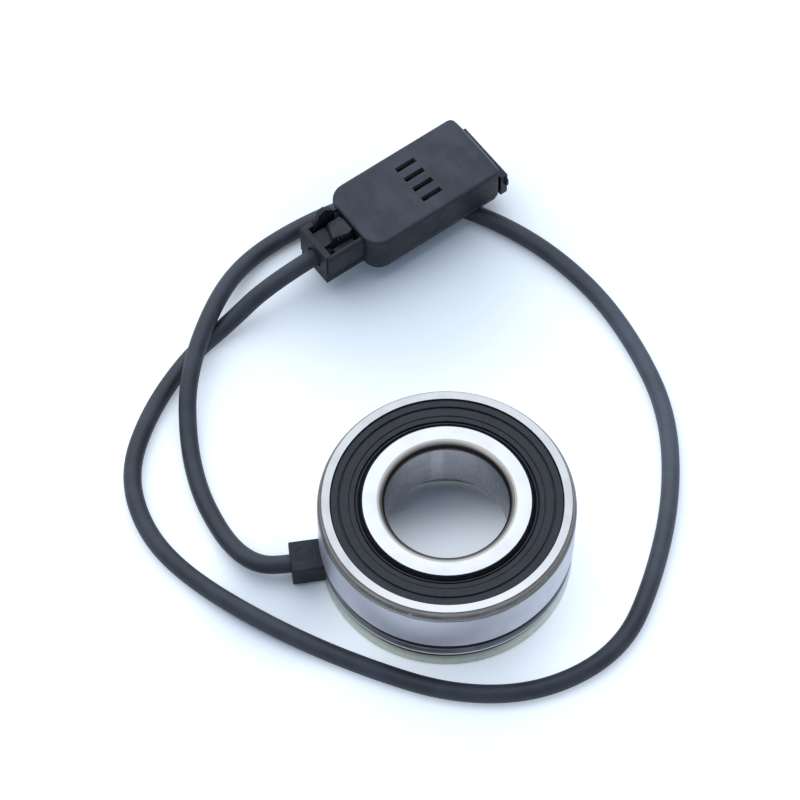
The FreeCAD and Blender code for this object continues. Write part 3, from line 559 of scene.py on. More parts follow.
# Cable exit block
# One small moulding on the side of the sensor, in the same matte black as the cable. It holds the cable's
# end, and a faint round mark of the mould's ejector pin shows on its top.
BLOCK_LOW = Vector((-32.0, -3.4, 0.9))
BLOCK_HIGH = Vector((-24.8, 3.4, 6.9))
BLOCK_EDGE = 0.22
MARK_CENTRE = (-28.9, 0.1)
MARK_RADIUS = 1.7
MARK_WIDTH = 0.35
BLOCK_DARK = (0.008, 0.011, 0.017, 1)
BLOCK_WORN = (0.016, 0.020, 0.029, 1)


def block_finish():
    """Matte moulded black with the ring of the ejector pin on its top."""
    material, shader, spot = new_finish("block_plastic", Specular_IOR_Level=0.28)
    grain = spot.noise(5.0, 3)
    away = spot.moved(-MARK_CENTRE[0], -MARK_CENTRE[1]).radius()
    ring = away.between(MARK_RADIUS - MARK_WIDTH, MARK_RADIUS)
    ring = ring * (1 - away.between(MARK_RADIUS, MARK_RADIUS + MARK_WIDTH))
    brighter_mask = spot.noise(0.5, 3).between(0.4, 0.75)
    put_on(shader, Base_Color=brighter_mask.blend(BLOCK_DARK, BLOCK_WORN),
           Roughness=grain * 0.1 + 0.55, Normal=(grain * 0.35 - ring).bumped(0.06))
    return material


block_plastic = block_finish()
block_mesh = bmesh.new()
bmesh.ops.create_cube(block_mesh, size=1)
bmesh.ops.scale(block_mesh, vec=(BLOCK_HIGH - BLOCK_LOW) * MM, verts=block_mesh.verts)
bmesh.ops.translate(block_mesh, vec=(BLOCK_HIGH + BLOCK_LOW) / 2 * MM, verts=block_mesh.verts)
block = add_piece("exit_block", block_mesh, [block_plastic], "stator", "sensor_plastic", "cable_exit_block")
soften(block, BLOCK_EDGE)


# Outer ring
# Bearing steel, hardened and ground. The outside and the two faces are ground bright, while the rounded
# corners stay as they came from the furnace: brown-grey, with turning lines and spots. Each end has a recess
# for a seal.
mounts = {mount["name"]: mount for mount in frame["record"]["mounts"]}
outer_r = mounts["outer_diameter"]["dims"]["r_mm"]
bore_r = mounts["bore"]["dims"]["r_mm"]
ring_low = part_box("outer_ring")[0].z / MM
ring_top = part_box("outer_ring")[1].z / MM
middle_z = (ring_low + ring_top) / 2
OUTER_CORNER_RADIAL = 0.95
OUTER_CORNER_AXIAL = 2.45
RIM_WALL = 2.6
RECESS_DEPTH = 2.2
GROOVE_RISE = 0.2
GROOVE_WIDTH = 0.7
GROOVE_DEPTH = 0.5
BALL_R = 3.969
TRACK_R = 4.128
TRACK_GAP = 0.015
OUTER_SHOULDER_R = 22.004
INNER_SHOULDER_R = 17.346
TURN_STEPS = 240
BAND_SPILL = 0.5
BLACK_DROP = 0.2
ON_FACE = 0.02
BAND_LOW = ring_top - OUTER_CORNER_AXIAL - 0.2
GROUND_OUTSIDE = (0.54, 0.545, 0.60, 1)
GROUND_STAINED = (0.50, 0.508, 0.56, 1)
FACE_PALE = (0.36, 0.362, 0.365, 1)
FACE_DARK = (0.29, 0.293, 0.296, 1)
FACE_PAINTED_HIGHLIGHT = (0.44, 0.438, 0.43, 1)
FURNACE_DARK = (0.115, 0.105, 0.097, 1)
FURNACE_PALE = (0.30, 0.287, 0.272, 1)
CORNER_DARK_BAND = (0.060, 0.052, 0.050, 1)
EDGE_BROWN = (0.15, 0.11, 0.085, 1)
BAND_LINE = (0.06, 0.065, 0.08, 1)
BARE_SPOT = (0.45, 0.44, 0.43, 1)
pitch_r = (bore_r + outer_r) / 2


def turned(outline, closed=True):
    """Ring or sheet turned round the bearing's axis from an outline of (radius, height) points."""
    mesh = bmesh.new()
    corners = [mesh.verts.new((radius * MM, 0, height * MM)) for radius, height in outline]
    following = corners[1:] + corners[:1] if closed else corners[1:]
    sides = [mesh.edges.new(pair) for pair in zip(corners, following)]
    bmesh.ops.spin(mesh, geom=corners + sides, axis=(0, 0, 1), cent=(0, 0, 0), angle=2 * math.pi,
                   steps=TURN_STEPS, use_merge=True)
    return mesh


def zoned(mesh, zone_of):
    """Gives each face the finish that a rule picks from its radius and height."""
    for face in mesh.faces:
        centre = face.calc_center_median() / MM
        face.material_index = zone_of(math.hypot(centre.x, centre.y), centre.z)
    return mesh


def corner(wall_end, face_end, points=7):
    """Rounded corner that leaves the wall smoothly, from the wall to the face."""
    radial = face_end[0] - wall_end[0]
    axial = face_end[1] - wall_end[1]
    radius = (radial ** 2 + axial ** 2) / (2 * abs(radial))
    turn = math.atan2(abs(axial), radius - abs(radial))
    outline = []
    for step in range(points + 1):
        angle = turn * step / points
        outline.append((wall_end[0] + math.copysign(radius * (1 - math.cos(angle)), radial),
                        wall_end[1] + math.copysign(radius * math.sin(angle), axial)))
    return outline


def track(centre_r, shoulder_r, points=10):
    """Ball track between its two shoulders, from the upper one to the lower one."""
    outward = math.copysign(1, shoulder_r - centre_r)
    half_turn = math.acos(abs(shoulder_r - centre_r) / TRACK_R)
    outline = []
    for step in range(points + 1):
        angle = half_turn * (1 - 2 * step / points)
        outline.append((centre_r + outward * TRACK_R * math.cos(angle),
                        middle_z + TRACK_R * math.sin(angle)))
    return outline


def ground_finish(name, colour, stain, roughness, lines):
    """Ground steel: fine lines in one direction, and faint broad stains."""
    material, shader, spot = new_finish(name, Metallic=1.0)
    fine = spot.stretched(*lines).noise(1.0, 4)
    stains = spot.noise(0.22, 4).between(0.42, 0.72)
    put_on(shader, Base_Color=stains.blend(colour, stain),
           Roughness=fine * 0.14 + stains * 0.05 + roughness, Normal=fine.bumped(0.004))
    return material


def face_finish():
    """Ground face of the outer ring: duller than the outside, grainy, and with a painted highlight on its
    near side.
    """
    material, shader, spot = new_finish("outer_face", Metallic=1.0)
    fine = spot.stretched(0.7, 9, 1).noise(1.0, 4)
    grain = spot.noise(3.2, 3)
    stains = spot.noise(0.22, 4).between(0.42, 0.72)
    # Painted highlight: the near side of the face is drawn brighter.
    paler_mask = 1 - spot.part(1).between(-24, -12)
    colour = (stains * 0.5 + grain * 0.5).blend(FACE_PALE, FACE_DARK)
    put_on(shader, Base_Color=(paler_mask * (0.95 - grain * 0.5)).blend(colour, FACE_PAINTED_HIGHLIGHT),
           Roughness=fine * 0.12 + grain * 0.08 + 0.26, Normal=(fine + grain).bumped(0.004))
    return material


def furnace_finish():
    """Unground steel: brown at the face, grey below, with turning lines, a dark patchy band across the
    corner's middle and an uneven edge.
    """
    material, shader, spot = new_finish("furnace_steel", Metallic=0.85)
    height = spot.part(2)
    lines = spot.stretched(0.05, 0.05, 7).noise(1.0, 3)
    spots = spot.noise(1.3, 4)
    patches = spot.noise(0.16, 3).between(0.38, 0.66)
    streaks = lines.between(0.36, 0.64) * 0.7 + patches * 0.3
    tone = streaks.blend(FURNACE_DARK, FURNACE_PALE)
    # A darker patchy band across the middle of the corner.
    scale = height.between(ring_top - 2.0, ring_top - 1.5)
    scale = scale * (1 - height.between(ring_top - 1.0, ring_top - 0.5))
    tone = (scale * (patches * 0.45 + 0.45)).blend(tone, CORNER_DARK_BAND)
    tone = height.between(ring_top - 0.35, ring_top - 0.1).blend(tone, EDGE_BROWN)
    waved = height + (spots - 0.5) * 0.3 + (patches - 0.5) * 0.16
    dark_line = waved.between(BAND_LOW, BAND_LOW + 0.2) * (1 - waved.between(BAND_LOW + 0.3, BAND_LOW + 0.7))
    below = 1 - waved.between(BAND_LOW, BAND_LOW + 0.2)
    tone = (dark_line * (patches * 0.35 + 0.45)).blend(tone, BAND_LINE)
    tone = (spots.between(0.6, 0.74) * 0.3).blend(tone, BARE_SPOT)
    put_on(shader, Base_Color=below.blend(tone, GROUND_OUTSIDE), Roughness=spots * 0.16 + 0.24,
           Normal=(lines + spots * 0.4).bumped(0.012))
    return material


def corner_shade_finish():
    """Painted shade: the unground steel drawn near-black, on the lower corner in the dark gap above the
    sensor and on the inner ring's shoulder corners under the lip.
    """
    material, shader, spot = new_finish("blackened_steel", Specular_IOR_Level=0.12)
    mottle = spot.noise(0.8, 3)
    put_on(shader, Base_Color=mottle.blend((0.004, 0.004, 0.006, 1), (0.010, 0.010, 0.014, 1)),
           Roughness=mottle * 0.2 + 0.5)
    return material


ground_outside = ground_finish("ground_outside", GROUND_OUTSIDE, GROUND_STAINED, 0.32, (0.03, 0.03, 14))
outer_face = face_finish()
furnace_steel = furnace_finish()
turned_steel = ground_finish("turned_steel", (0.30, 0.30, 0.31, 1), (0.22, 0.21, 0.20, 1), 0.3,
                             (0.03, 0.03, 9))
blackened_steel = corner_shade_finish()
face_r = outer_r - OUTER_CORNER_RADIAL
recess_r = outer_r - RIM_WALL
groove_r = recess_r + GROOVE_DEPTH


def recess(end, inward):
    """Recess and snap groove from the ring's face in to the shoulder."""
    floor = end + inward * RECESS_DEPTH
    near = floor - inward * (GROOVE_RISE + GROOVE_WIDTH)
    far = floor - inward * GROOVE_RISE
    return [(recess_r, end), (recess_r, near), (groove_r, near), (groove_r, far), (recess_r, far),
            (recess_r, floor), (OUTER_SHOULDER_R, floor)]


def outer_zone(radius, height):
    """Number of the finish on the outer ring at this place."""
    # Zone 4, the lower corner, takes the near-black painted shade.
    if radius > face_r and height < ring_low + OUTER_CORNER_AXIAL - BLACK_DROP:
        return 4
    if radius > face_r and ring_top - ON_FACE > height > ring_top - OUTER_CORNER_AXIAL - BAND_SPILL:
        return 2
    if radius > outer_r - ON_FACE:
        return 0
    if min(height - ring_low, ring_top - height) < ON_FACE and radius > recess_r:
        return 1
    return 2 if radius > face_r else 3


outer_outline = (corner((outer_r, ring_top - OUTER_CORNER_AXIAL), (face_r, ring_top)) + recess(ring_top, -1)
                 + track(pitch_r + BALL_R + TRACK_GAP - TRACK_R, OUTER_SHOULDER_R)
                 + recess(ring_low, 1)[::-1]
                 + corner((outer_r, ring_low + OUTER_CORNER_AXIAL), (face_r, ring_low))[::-1]
                 + [(outer_r, ring_low + OUTER_CORNER_AXIAL + 0.35),
                    (outer_r, ring_top - OUTER_CORNER_AXIAL - BAND_SPILL)])
outer_ring = add_piece("outer_race", zoned(turned(outer_outline), outer_zone),
                       [ground_outside, outer_face, furnace_steel, turned_steel, blackened_steel],
                       "stator", "ring_steel", "outer_ring")
soften(outer_ring, 0.07)


# Inner ring
# The same steel. Its bore is ground to fit a shaft, and its quarter-round bore corners are unground and
# brown, with a painted highlight on the far side and a painted dark reflection towards the bore. The sealing
# lip runs on its shoulder, whose small corner is painted near-black as shade under the lip.
BORE_CORNER = 1.4
SHOULDER_CORNER = 0.45
BORE_PALE = (0.365, 0.37, 0.40, 1)
BORE_STAINED = (0.31, 0.315, 0.34, 1)
BORE_HIGHLIGHT = (0.62, 0.62, 0.64, 1)
BORE_DARK_REFLECTION = (0.045, 0.037, 0.034, 1)
CORNER_DARK_REFLECTION = (0.022, 0.018, 0.016, 1)
CORNER_BROWN = (0.115, 0.105, 0.090, 1)
CORNER_HIGHLIGHT = (0.25, 0.23, 0.20, 1)
CORNER_LINE = (0.15, 0.13, 0.11, 1)
FACE_BROWN = (0.20, 0.19, 0.17, 1)


def bore_finish():
    """Ground bore: faint upright lines, a painted highlight streak and a painted dark reflection in a band
    below its corner.
    """
    material, shader, spot = new_finish("ground_bore", Metallic=1.0)
    lines = spot.stretched(1.6, 1.6, 0.04).noise(1.0, 2)
    stains = spot.noise(0.3, 3).between(0.4, 0.7)
    # Painted dark reflection: a near-black brown band at the top of the bore, below its corner.
    dark_reflection_band = spot.part(2).between(ring_top - BORE_CORNER - 0.7, ring_top - BORE_CORNER - 0.1)
    # Painted highlight: a lighter upright streak on the bore.
    highlight_streak = 1 - (spot.part(0) * spot.part(0)).between(0.1, 3.0)
    colour = stains.blend(BORE_PALE, BORE_STAINED)
    colour = (highlight_streak * 0.35).blend(colour, BORE_HIGHLIGHT)
    put_on(shader, Base_Color=dark_reflection_band.blend(colour, BORE_DARK_REFLECTION),
           Roughness=lines * 0.05 + 0.25, Normal=lines.bumped(0.0006))
    return material


def bore_corner_finish():
    """Unground bore corner: brown at the face, with a painted highlight on the far side and a painted dark
    reflection towards the bore.
    """
    material, shader, spot = new_finish("bore_corner", Metallic=0.8)
    lines = spot.stretched(0.05, 0.05, 8).noise(1.0, 3)
    # Painted dark reflection towards the bore, and a painted highlight on the far side.
    inward = 1 - spot.radius().between(bore_r + 0.3, bore_r + 0.75)
    far_side_highlight = spot.part(1).between(1, 10)
    tone = inward.blend(far_side_highlight.blend(CORNER_BROWN, CORNER_HIGHLIGHT), CORNER_DARK_REFLECTION)
    put_on(shader, Base_Color=(lines.between(0.5, 0.8) * 0.3).blend(tone, CORNER_LINE),
           Roughness=lines * 0.15 + 0.3, Normal=lines.bumped(0.015))
    return material


def inner_face_finish():
    """Ground face of the inner ring: bright and even, with a thin brown line at the bore corner."""
    material, shader, spot = new_finish("inner_face", Metallic=1.0)
    fine = spot.stretched(0.7, 9, 1).noise(1.0, 4)
    stains = spot.noise(0.22, 4).between(0.42, 0.72)
    by_bore = 1 - spot.radius().between(bore_r + BORE_CORNER, bore_r + BORE_CORNER + 0.25)
    colour = stains.blend((0.435, 0.442, 0.456, 1), (0.405, 0.41, 0.42, 1))
    put_on(shader, Base_Color=(by_bore * 0.8).blend(colour, FACE_BROWN),
           Roughness=fine * 0.12 + 0.32, Normal=fine.bumped(0.004))
    return material


def inner_zone(radius, height):
    """Number of the finish on the inner ring at this place."""
    from_end = min(height - ring_low, ring_top - height)
    if radius < bore_r + ON_FACE:
        return 0
    if from_end < ON_FACE:
        return 1
    # Zone 4, the shoulder corner under the lip, takes the near-black painted shade.
    if radius > INNER_SHOULDER_R - SHOULDER_CORNER and from_end < SHOULDER_CORNER:
        return 4
    return 2 if radius < bore_r + BORE_CORNER else 3


def ring_half(end, inward):
    """From the bore, over its corner, the face and the outer corner, to the shoulder."""
    bore_end = (bore_r, end + inward * BORE_CORNER)
    shoulder_end = (INNER_SHOULDER_R, end + inward * SHOULDER_CORNER)
    return (corner(bore_end, (bore_r + BORE_CORNER, end))
            + corner(shoulder_end, (INNER_SHOULDER_R - SHOULDER_CORNER, end), 3)[::-1])


inner_outline = (ring_half(ring_top, -1) + track(pitch_r - BALL_R - TRACK_GAP + TRACK_R, INNER_SHOULDER_R)
                 + ring_half(ring_low, 1)[::-1])
inner_finishes = [bore_finish(), inner_face_finish(), bore_corner_finish(), turned_steel, blackened_steel]
inner_ring = add_piece("inner_race", zoned(turned(inner_outline), inner_zone), inner_finishes,
                       "rotor", "ring_steel", "inner_ring")
soften(inner_ring, 0.05)


# Balls and cage
# Nine polished steel balls in a cage of two pressed steel halves, riveted together between the balls. The
# seal and the sensor hide them.
def polished_finish(name, colour, roughness):
    """Bright steel with a few hair-fine marks."""
    material, shader, spot = new_finish(name, Metallic=1.0)
    marks = spot.noise(3.0, 5)
    put_on(shader, Base_Color=marks.between(0.5, 0.9).blend(colour, (0.45, 0.45, 0.46, 1)),
           Roughness=marks * 0.08 + roughness)
    return material


ball_steel = polished_finish("ball_steel", (0.66, 0.67, 0.69, 1), 0.04)
sheet_steel = polished_finish("sheet_steel", (0.50, 0.50, 0.51, 1), 0.28)
dressed(ball_steel, *[name for name in frame["nodes"] if name.startswith("ball_")])
dressed(sheet_steel, "cage_upper", "cage_lower", "cage_rivets", "seal_stiffener")


# Seal
# Black nitrile rubber moulded round a steel plate. From the rim inwards it has a bead, a groove, a broad
# band, a fine line, a second band, a deep trough and the lip that rubs on the inner ring.
SEAL_TOP = 21.6
SEAL_FLOOR = 19.8
BEAD_OUT = 23.3
BEAD_IN = 21.76
BAND_OUT = 21.38
LINE_R = 19.6
BAND_IN = 18.46
LIP_OUT = 18.2
LIP_IN = 17.82
LIP_TIP = 17.4
RUBBER_DARK = (0.007, 0.009, 0.013, 1)
RUBBER_PALE = (0.017, 0.020, 0.027, 1)
RUBBER_DUST_AND_SHEEN = (0.075, 0.080, 0.090, 1)
CRUMBS = (0.30, 0.29, 0.27, 1)


def rubber_finish():
    """Matte rubber with mould grain and slow rings, paler dust in its grain, dust and a painted highlight
    along the groove edges, and a few crumbs by the lip.
    """
    material, shader, spot = new_finish("seal_rubber", Specular_IOR_Level=0.24)
    grain = spot.noise(4.0, 4)
    paler_mask = spot.noise(0.35, 3).between(0.35, 0.7)
    away = spot.radius()
    by_lip = 1 - away.between(18.3, 19.6)
    crumbs = spot.noise(2.1, 2).between(0.74, 0.79) * by_lip
    dust = spot.noise(2.8, 3).between(0.52, 0.72)
    # Along the groove edges the paler colour is partly dust and partly a painted highlight.
    by_groove = sum((1 - (away - edge) * (away - edge) / 0.03).between(0, 1)
                    for edge in (BEAD_IN, BAND_OUT, BAND_IN))
    colour = paler_mask.blend(RUBBER_DARK, RUBBER_PALE)
    colour = (dust * (by_groove * 0.35 + 0.16)).blend(colour, RUBBER_DUST_AND_SHEEN)
    put_on(shader, Base_Color=crumbs.blend(colour, CRUMBS),
           Roughness=paler_mask * 0.12 + grain * 0.1 + 0.36, Normal=grain.bumped(0.03))
    return material


seal_outline = [
    (groove_r - 0.05, SEAL_FLOOR + 0.25), (groove_r - 0.05, SEAL_FLOOR + 0.85),
    (recess_r - 0.02, SEAL_FLOOR + 0.9), (BEAD_OUT + 0.02, SEAL_FLOOR + 0.95),
    (BEAD_OUT, SEAL_TOP - 0.12), (BEAD_OUT - 0.12, SEAL_TOP),
    (BEAD_IN + 0.12, SEAL_TOP), (BEAD_IN, SEAL_TOP - 0.12), (BEAD_IN - 0.05, SEAL_TOP - 0.45),
    (BAND_OUT + 0.05, SEAL_TOP - 0.45), (BAND_OUT, SEAL_TOP - 0.16), (BAND_OUT - 0.08, SEAL_TOP - 0.08),
    (LINE_R + 0.12, SEAL_TOP - 0.1), (LINE_R + 0.06, SEAL_TOP - 0.3), (LINE_R - 0.06, SEAL_TOP - 0.3),
    (LINE_R - 0.12, SEAL_TOP - 0.18), (BAND_IN + 0.1, SEAL_TOP - 0.2), (BAND_IN, SEAL_TOP - 0.3),
    (BAND_IN - 0.05, SEAL_TOP - 0.9), (LIP_OUT + 0.04, SEAL_TOP - 0.9), (LIP_OUT, SEAL_TOP - 0.42),
    (LIP_OUT - 0.1, SEAL_TOP - 0.34), (LIP_IN + 0.08, SEAL_TOP - 0.34), (LIP_IN, SEAL_TOP - 0.44),
    (LIP_IN - 0.02, SEAL_TOP - 0.85), (LIP_TIP, SEAL_FLOOR + 0.62), (LIP_TIP, SEAL_FLOOR + 0.45),
    (LIP_IN + 0.05, SEAL_FLOOR + 0.05), (recess_r - 0.05, SEAL_FLOOR + 0.02),
    (recess_r - 0.05, SEAL_FLOOR + 0.25),
]
seal = add_piece("seal", turned(seal_outline), [rubber_finish()], "stator", "seal_rubber", "seal_rubber")
soften(seal, 0.04)


# Impulse ring
# A pressed steel carrier on the inner ring, with a ring of magnetised black rubber bonded round it. It turns
# in front of the two Hall cells.
magnet_compound = moulded_finish("magnet_compound", (0.030, 0.028, 0.026, 1), (0.050, 0.047, 0.044, 1), 0.6)
dressed(sheet_steel, "impulse_ring_carrier")
dressed(magnet_compound, "magnet_ring")


# Sensor body and its electronics
# A black moulded ring that snaps into the outer ring. Its trough holds a small board with two Hall cells, a
# chip and a few small parts, under potting resin.
BOARD_DARK = (0.010, 0.085, 0.035, 1)
BOARD_PALE = (0.018, 0.13, 0.05, 1)


def board_finish():
    """Green solder mask over glass cloth."""
    material, shader, spot = new_finish("board_laminate", Specular_IOR_Level=0.5)
    weave = spot.stretched(2.2, 2.2, 2.2).noise(1.0, 2)
    put_on(shader, Base_Color=weave.between(0.4, 0.65).blend(BOARD_DARK, BOARD_PALE),
           Roughness=weave * 0.1 + 0.25)
    return material


sensor_plastic = moulded_finish("sensor_plastic", (0.020, 0.022, 0.026, 1), (0.032, 0.035, 0.041, 1), 0.5)
potting = moulded_finish("potting", (0.016, 0.015, 0.014, 1), (0.025, 0.023, 0.021, 1), 0.35)
chip_plastic = moulded_finish("chip_plastic", (0.014, 0.014, 0.015, 1), (0.024, 0.024, 0.026, 1), 0.55)
dressed(sensor_plastic, "sensor_body")
dressed(board_finish(), "circuit_board")
dressed(potting, "potting_resin")
dressed(chip_plastic, "signal_chip", "board_components", "hall_sensor_1", "hall_sensor_2")


# Sensor cap
# A deep-drawn steel cap under the sensor, plated with zinc and passivated, so its grey shifts between green,
# yellow and pink. A notch in its wall lets the exit block through.
CAP_HOLE_R = 16.6
CAP_SHEET = 0.6
CAP_ROUND = 0.45
CAP_WALL_TOP = 4.6
CAP_RIM_R = 25.75
CAP_TOP_R = 25.4
NOTCH_HALF = 3.45
NOTCH_LOW = 0.85
CAP_SHADED = (0.15, 0.155, 0.13, 1)
CAP_FRONT_SHADE = (0.22, 0.25, 0.24, 1)
CAP_RIGHT_HIGHLIGHT = (0.64, 0.70, 0.66, 1)
CAP_CLOUD = (0.33, 0.32, 0.26, 1)
CAP_SHADOW_BLACK = (0.020, 0.022, 0.025, 1)
CAP_CONTACT_SHADOW = (0.10, 0.10, 0.09, 1)


def pressed(outline):
    """Thin sheet turned round the axis from an open outline."""
    mesh = turned(outline, closed=False)
    bmesh.ops.remove_doubles(mesh, verts=mesh.verts, dist=SAME_PLACE * MM)
    return mesh


def notched(mesh):
    """Cuts the block's notch out of a sheet."""
    split_at(mesh, 1, -NOTCH_HALF, NOTCH_HALF)
    split_at(mesh, 2, NOTCH_LOW)
    drop_faces(mesh, lambda centre: centre.x < -22 and abs(centre.y) < NOTCH_HALF and centre.z > NOTCH_LOW)
    return mesh


def zinc_finish():
    """Passivated zinc: slow shifts of green, yellow and pink over grey, with painted shade towards the top
    and on the near side, a painted highlight on the right, a painted shadow under the retainer and a painted
    contact shadow at the foot.
    """
    material, shader, spot = new_finish("cap_zinc", Metallic=0.9)
    drift = spot.noise(0.07, 3)
    cloud = spot.noise(0.55, 4)
    drawn = spot.stretched(2.5, 2.5, 0.2).noise(1.0, 3)
    hue = (drift * 0.75 + cloud * 0.25).add("ShaderNodeValToRGB", {"stops": [
        (0.36, (0.37, 0.44, 0.42, 1)), (0.72, (0.48, 0.52, 0.54, 1)), (0.44, (0.48, 0.52, 0.43, 1)),
        (0.53, (0.54, 0.56, 0.49, 1)), (0.62, (0.56, 0.52, 0.52, 1))]}, {})
    height = spot.part(2)
    # Painted shadow: a near-black band at the top of the wall, under the retainer.
    shadow_under_retainer = height.between(CAP_WALL_TOP - 1.3, CAP_WALL_TOP - 1.05)
    # Painted contact shadow at the foot of the cap.
    contact_shadow = 1 - height.between(0.05, 0.4)
    # Painted shade towards the top and on the near side, and a painted highlight on the right.
    front = (1 - spot.part(1).between(-26, -21)) * (1 - spot.part(0).between(2, 14))
    shade = height.between(1.6, 3.5) * (front * 0.3 + 0.45)
    colour = shade.blend(hue, CAP_SHADED)
    colour = (front * 0.3).blend(colour, CAP_FRONT_SHADE)
    colour = (spot.part(0).between(6, 20) * 0.45).blend(colour, CAP_RIGHT_HIGHLIGHT)
    colour = (cloud.between(0.4, 0.75) * 0.3).blend(colour, CAP_CLOUD)
    colour = (shadow_under_retainer * 0.9).blend(colour, CAP_SHADOW_BLACK)
    put_on(shader, Base_Color=(contact_shadow * 0.8).blend(colour, CAP_CONTACT_SHADOW),
           Roughness=drawn * 0.16 + cloud * 0.1 + 0.22, Normal=(drawn * 0.5 + cloud).bumped(0.01))
    return material


cap_outline = [(CAP_HOLE_R, 0), (CAP_RIM_R - CAP_ROUND, 0)]
cap_outline += [(CAP_RIM_R - CAP_ROUND + CAP_ROUND * math.sin(angle),
                 CAP_ROUND - CAP_ROUND * math.cos(angle))
                for angle in (math.radians(18 * step) for step in range(1, 6))]
cap_outline += [(CAP_RIM_R - 0.06, 1.3), (CAP_RIM_R - 0.19, 2.6), (CAP_TOP_R, 3.6),
                (CAP_TOP_R - 0.3, CAP_WALL_TOP)]
cap = add_piece("zinc_cap", notched(pressed(cap_outline)), [zinc_finish()], "stator", "cap_zinc",
                "sensor_cap")
thickened(cap, CAP_SHEET, -1)
soften(cap, 0.06)


# Retaining ring
# A ring of dark, oiled steel between the cap and the outer ring. It is bent over at its top to hold the two
# together.
RETAINER_R = 25.8
RETAINER_LOW = 4.9
RETAINER_TOP = 6.98
RETAINER_IN = 23.45
RETAINER_SHEET = 0.56
RETAINER_BEND = 0.35
RETAINER_DARK = (0.080, 0.085, 0.096, 1)
RETAINER_PALE = (0.155, 0.16, 0.175, 1)
RETAINER_EDGE_HIGHLIGHT = (0.72, 0.72, 0.70, 1)


def retainer_finish():
    """Dark oiled steel with turning lines, and a painted highlight along its lower edge."""
    material, shader, spot = new_finish("retainer_steel", Metallic=0.95)
    lines = spot.stretched(0.04, 0.04, 8).noise(1.0, 4)
    stains = spot.noise(0.25, 4).between(0.4, 0.7)
    # Painted highlight: a bright line along the lower edge.
    brighter_mask = 1 - (spot.part(2) + spot.noise(0.6, 3) * 0.16).between(RETAINER_LOW + 0.38, RETAINER_LOW + 0.52)
    colour = (lines * 0.5 + stains * 0.5).blend(RETAINER_DARK, RETAINER_PALE)
    put_on(shader, Base_Color=brighter_mask.blend(colour, RETAINER_EDGE_HIGHLIGHT),
           Roughness=lines * 0.14 + stains * 0.05 + 0.27, Normal=lines.bumped(0.004))
    return material


retainer_outline = [(RETAINER_R, RETAINER_LOW), (RETAINER_R, RETAINER_TOP - RETAINER_BEND)]
retainer_outline += [(RETAINER_R - RETAINER_BEND + RETAINER_BEND * math.cos(angle),
                      RETAINER_TOP - RETAINER_BEND + RETAINER_BEND * math.sin(angle))
                     for angle in (math.radians(22.5 * step) for step in range(1, 5))]
retainer_outline += [(RETAINER_IN, RETAINER_TOP)]
retainer = add_piece("retainer", notched(pressed(retainer_outline)), [retainer_finish()], "stator",
                     "retainer_steel", "retaining_ring")
thickened(retainer, RETAINER_SHEET, -1)
soften(retainer, 0.05)


# Table
# A white sheet that runs out of the picture. Far from the piece it is drawn a little brighter for the camera
# and for reflections, so that the background goes white, while the soft blue shadows near the piece stay.
# Inside the bore and on the right of the bearing it is drawn brighter still, as painted light.
SHEET_COLOUR = (0.90, 0.93, 0.96, 1)
SHEET_FIBRE = (0.89, 0.92, 0.95, 1)
SHEET_LIFT = (0.42, 0.45, 0.48, 1)
PLUG_SHADOW = (2, 66)
PLUG_SHADOW_SPREAD = (12, 54)
BLOCK_SHADOW = (-36, -6)
BLOCK_SHADOW_SPREAD = (4, 22)


def seen_rays(tree):
    """1 for rays that show the background: from the camera, from a reflection or through a clear piece."""
    rays = tree.nodes.new("ShaderNodeLightPath")
    seen = Socket(tree, rays.outputs["Is Camera Ray"]) + Socket(tree, rays.outputs["Is Glossy Ray"])
    return (seen + Socket(tree, rays.outputs["Is Transmission Ray"])).capped()


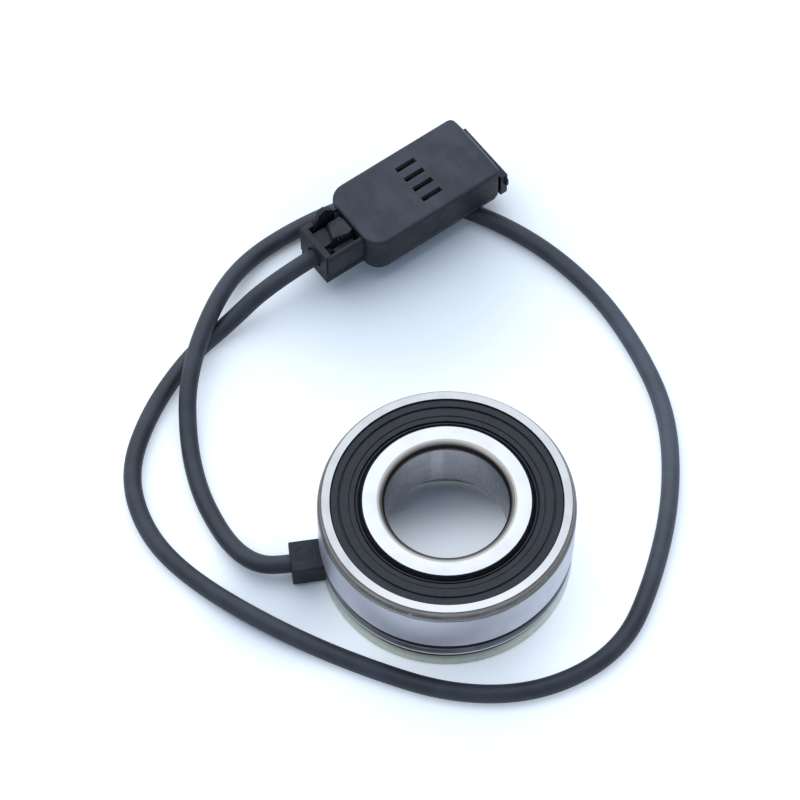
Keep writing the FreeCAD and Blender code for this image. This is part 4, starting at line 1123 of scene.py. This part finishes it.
table_sheet, sheet_shader, sheet_spot = new_finish(
    "table_sheet", Roughness=0.9, Specular_IOR_Level=0.1, Emission_Strength=1.0)
fibres = sheet_spot.noise(0.3, 3)
from_plug = sheet_spot.moved(-PLUG_SHADOW[0], -PLUG_SHADOW[1]).radius()
from_block = sheet_spot.moved(-BLOCK_SHADOW[0], -BLOCK_SHADOW[1]).radius()
outside = sheet_spot.radius().between(15, 20)
# Painted light: a brighter pool on the floor inside the bore.
in_bore = (1 - outside) * (1 - sheet_spot.part(1).between(0, 12))
# Painted light: brighter floor on the right of the bearing.
by_lamp = sheet_spot.part(0).between(4, 26) * (1 - sheet_spot.radius().between(34, 50))
far = outside * from_plug.between(*PLUG_SHADOW_SPREAD) * from_block.between(*BLOCK_SHADOW_SPREAD)
far = (far + in_bore * 0.8) * (by_lamp * 0.3 + 0.7)
put_on(sheet_shader, Base_Color=fibres.blend(SHEET_COLOUR, SHEET_FIBRE),
       Emission_Color=(far * seen_rays(table_sheet.node_tree)).blend((0, 0, 0, 1), SHEET_LIFT))
table_mesh = bmesh.new()
bmesh.ops.create_grid(table_mesh, x_segments=1, y_segments=1, size=3)
table_data = bpy.data.meshes.new("table")
table_mesh.to_mesh(table_data)
table_mesh.free()
table_data.materials.append(table_sheet)
table = bpy.data.objects.new("table", table_data)
bpy.context.scene.collection.objects.link(table)


# Lamps
# One very large soft lamp above and behind, and a pale blue room all round, as by a window.
ROOM_LIGHT = (0.30, 0.38, 0.50, 1)
ROOM_SEEN = (0.72, 0.82, 0.97, 1)
room = bpy.data.worlds.new("room")
room.use_nodes = True
bpy.context.scene.world = room
walls = room.node_tree.nodes["Background"]
shown = seen_rays(room.node_tree).blend(ROOM_LIGHT, ROOM_SEEN)
room.node_tree.links.new(shown.socket, walls.inputs["Color"])
lamp_data = bpy.data.lights.new("window", "AREA")
lamp_data.shape = "RECTANGLE"
lamp_data.size = 3.6
lamp_data.size_y = 3.0
lamp_data.energy = 56
lamp_data.color = (0.93, 0.96, 1.0)
lamp = bpy.data.objects.new("window", lamp_data)
lamp.location = (-0.3, 1.0, 1.5)
lamp.rotation_euler = (Vector((0, 0.03, 0)) - lamp.location).to_track_quat("-Z", "Y").to_euler()
bpy.context.scene.collection.objects.link(lamp)

bpy.context.scene.view_settings.view_transform = "Standard"
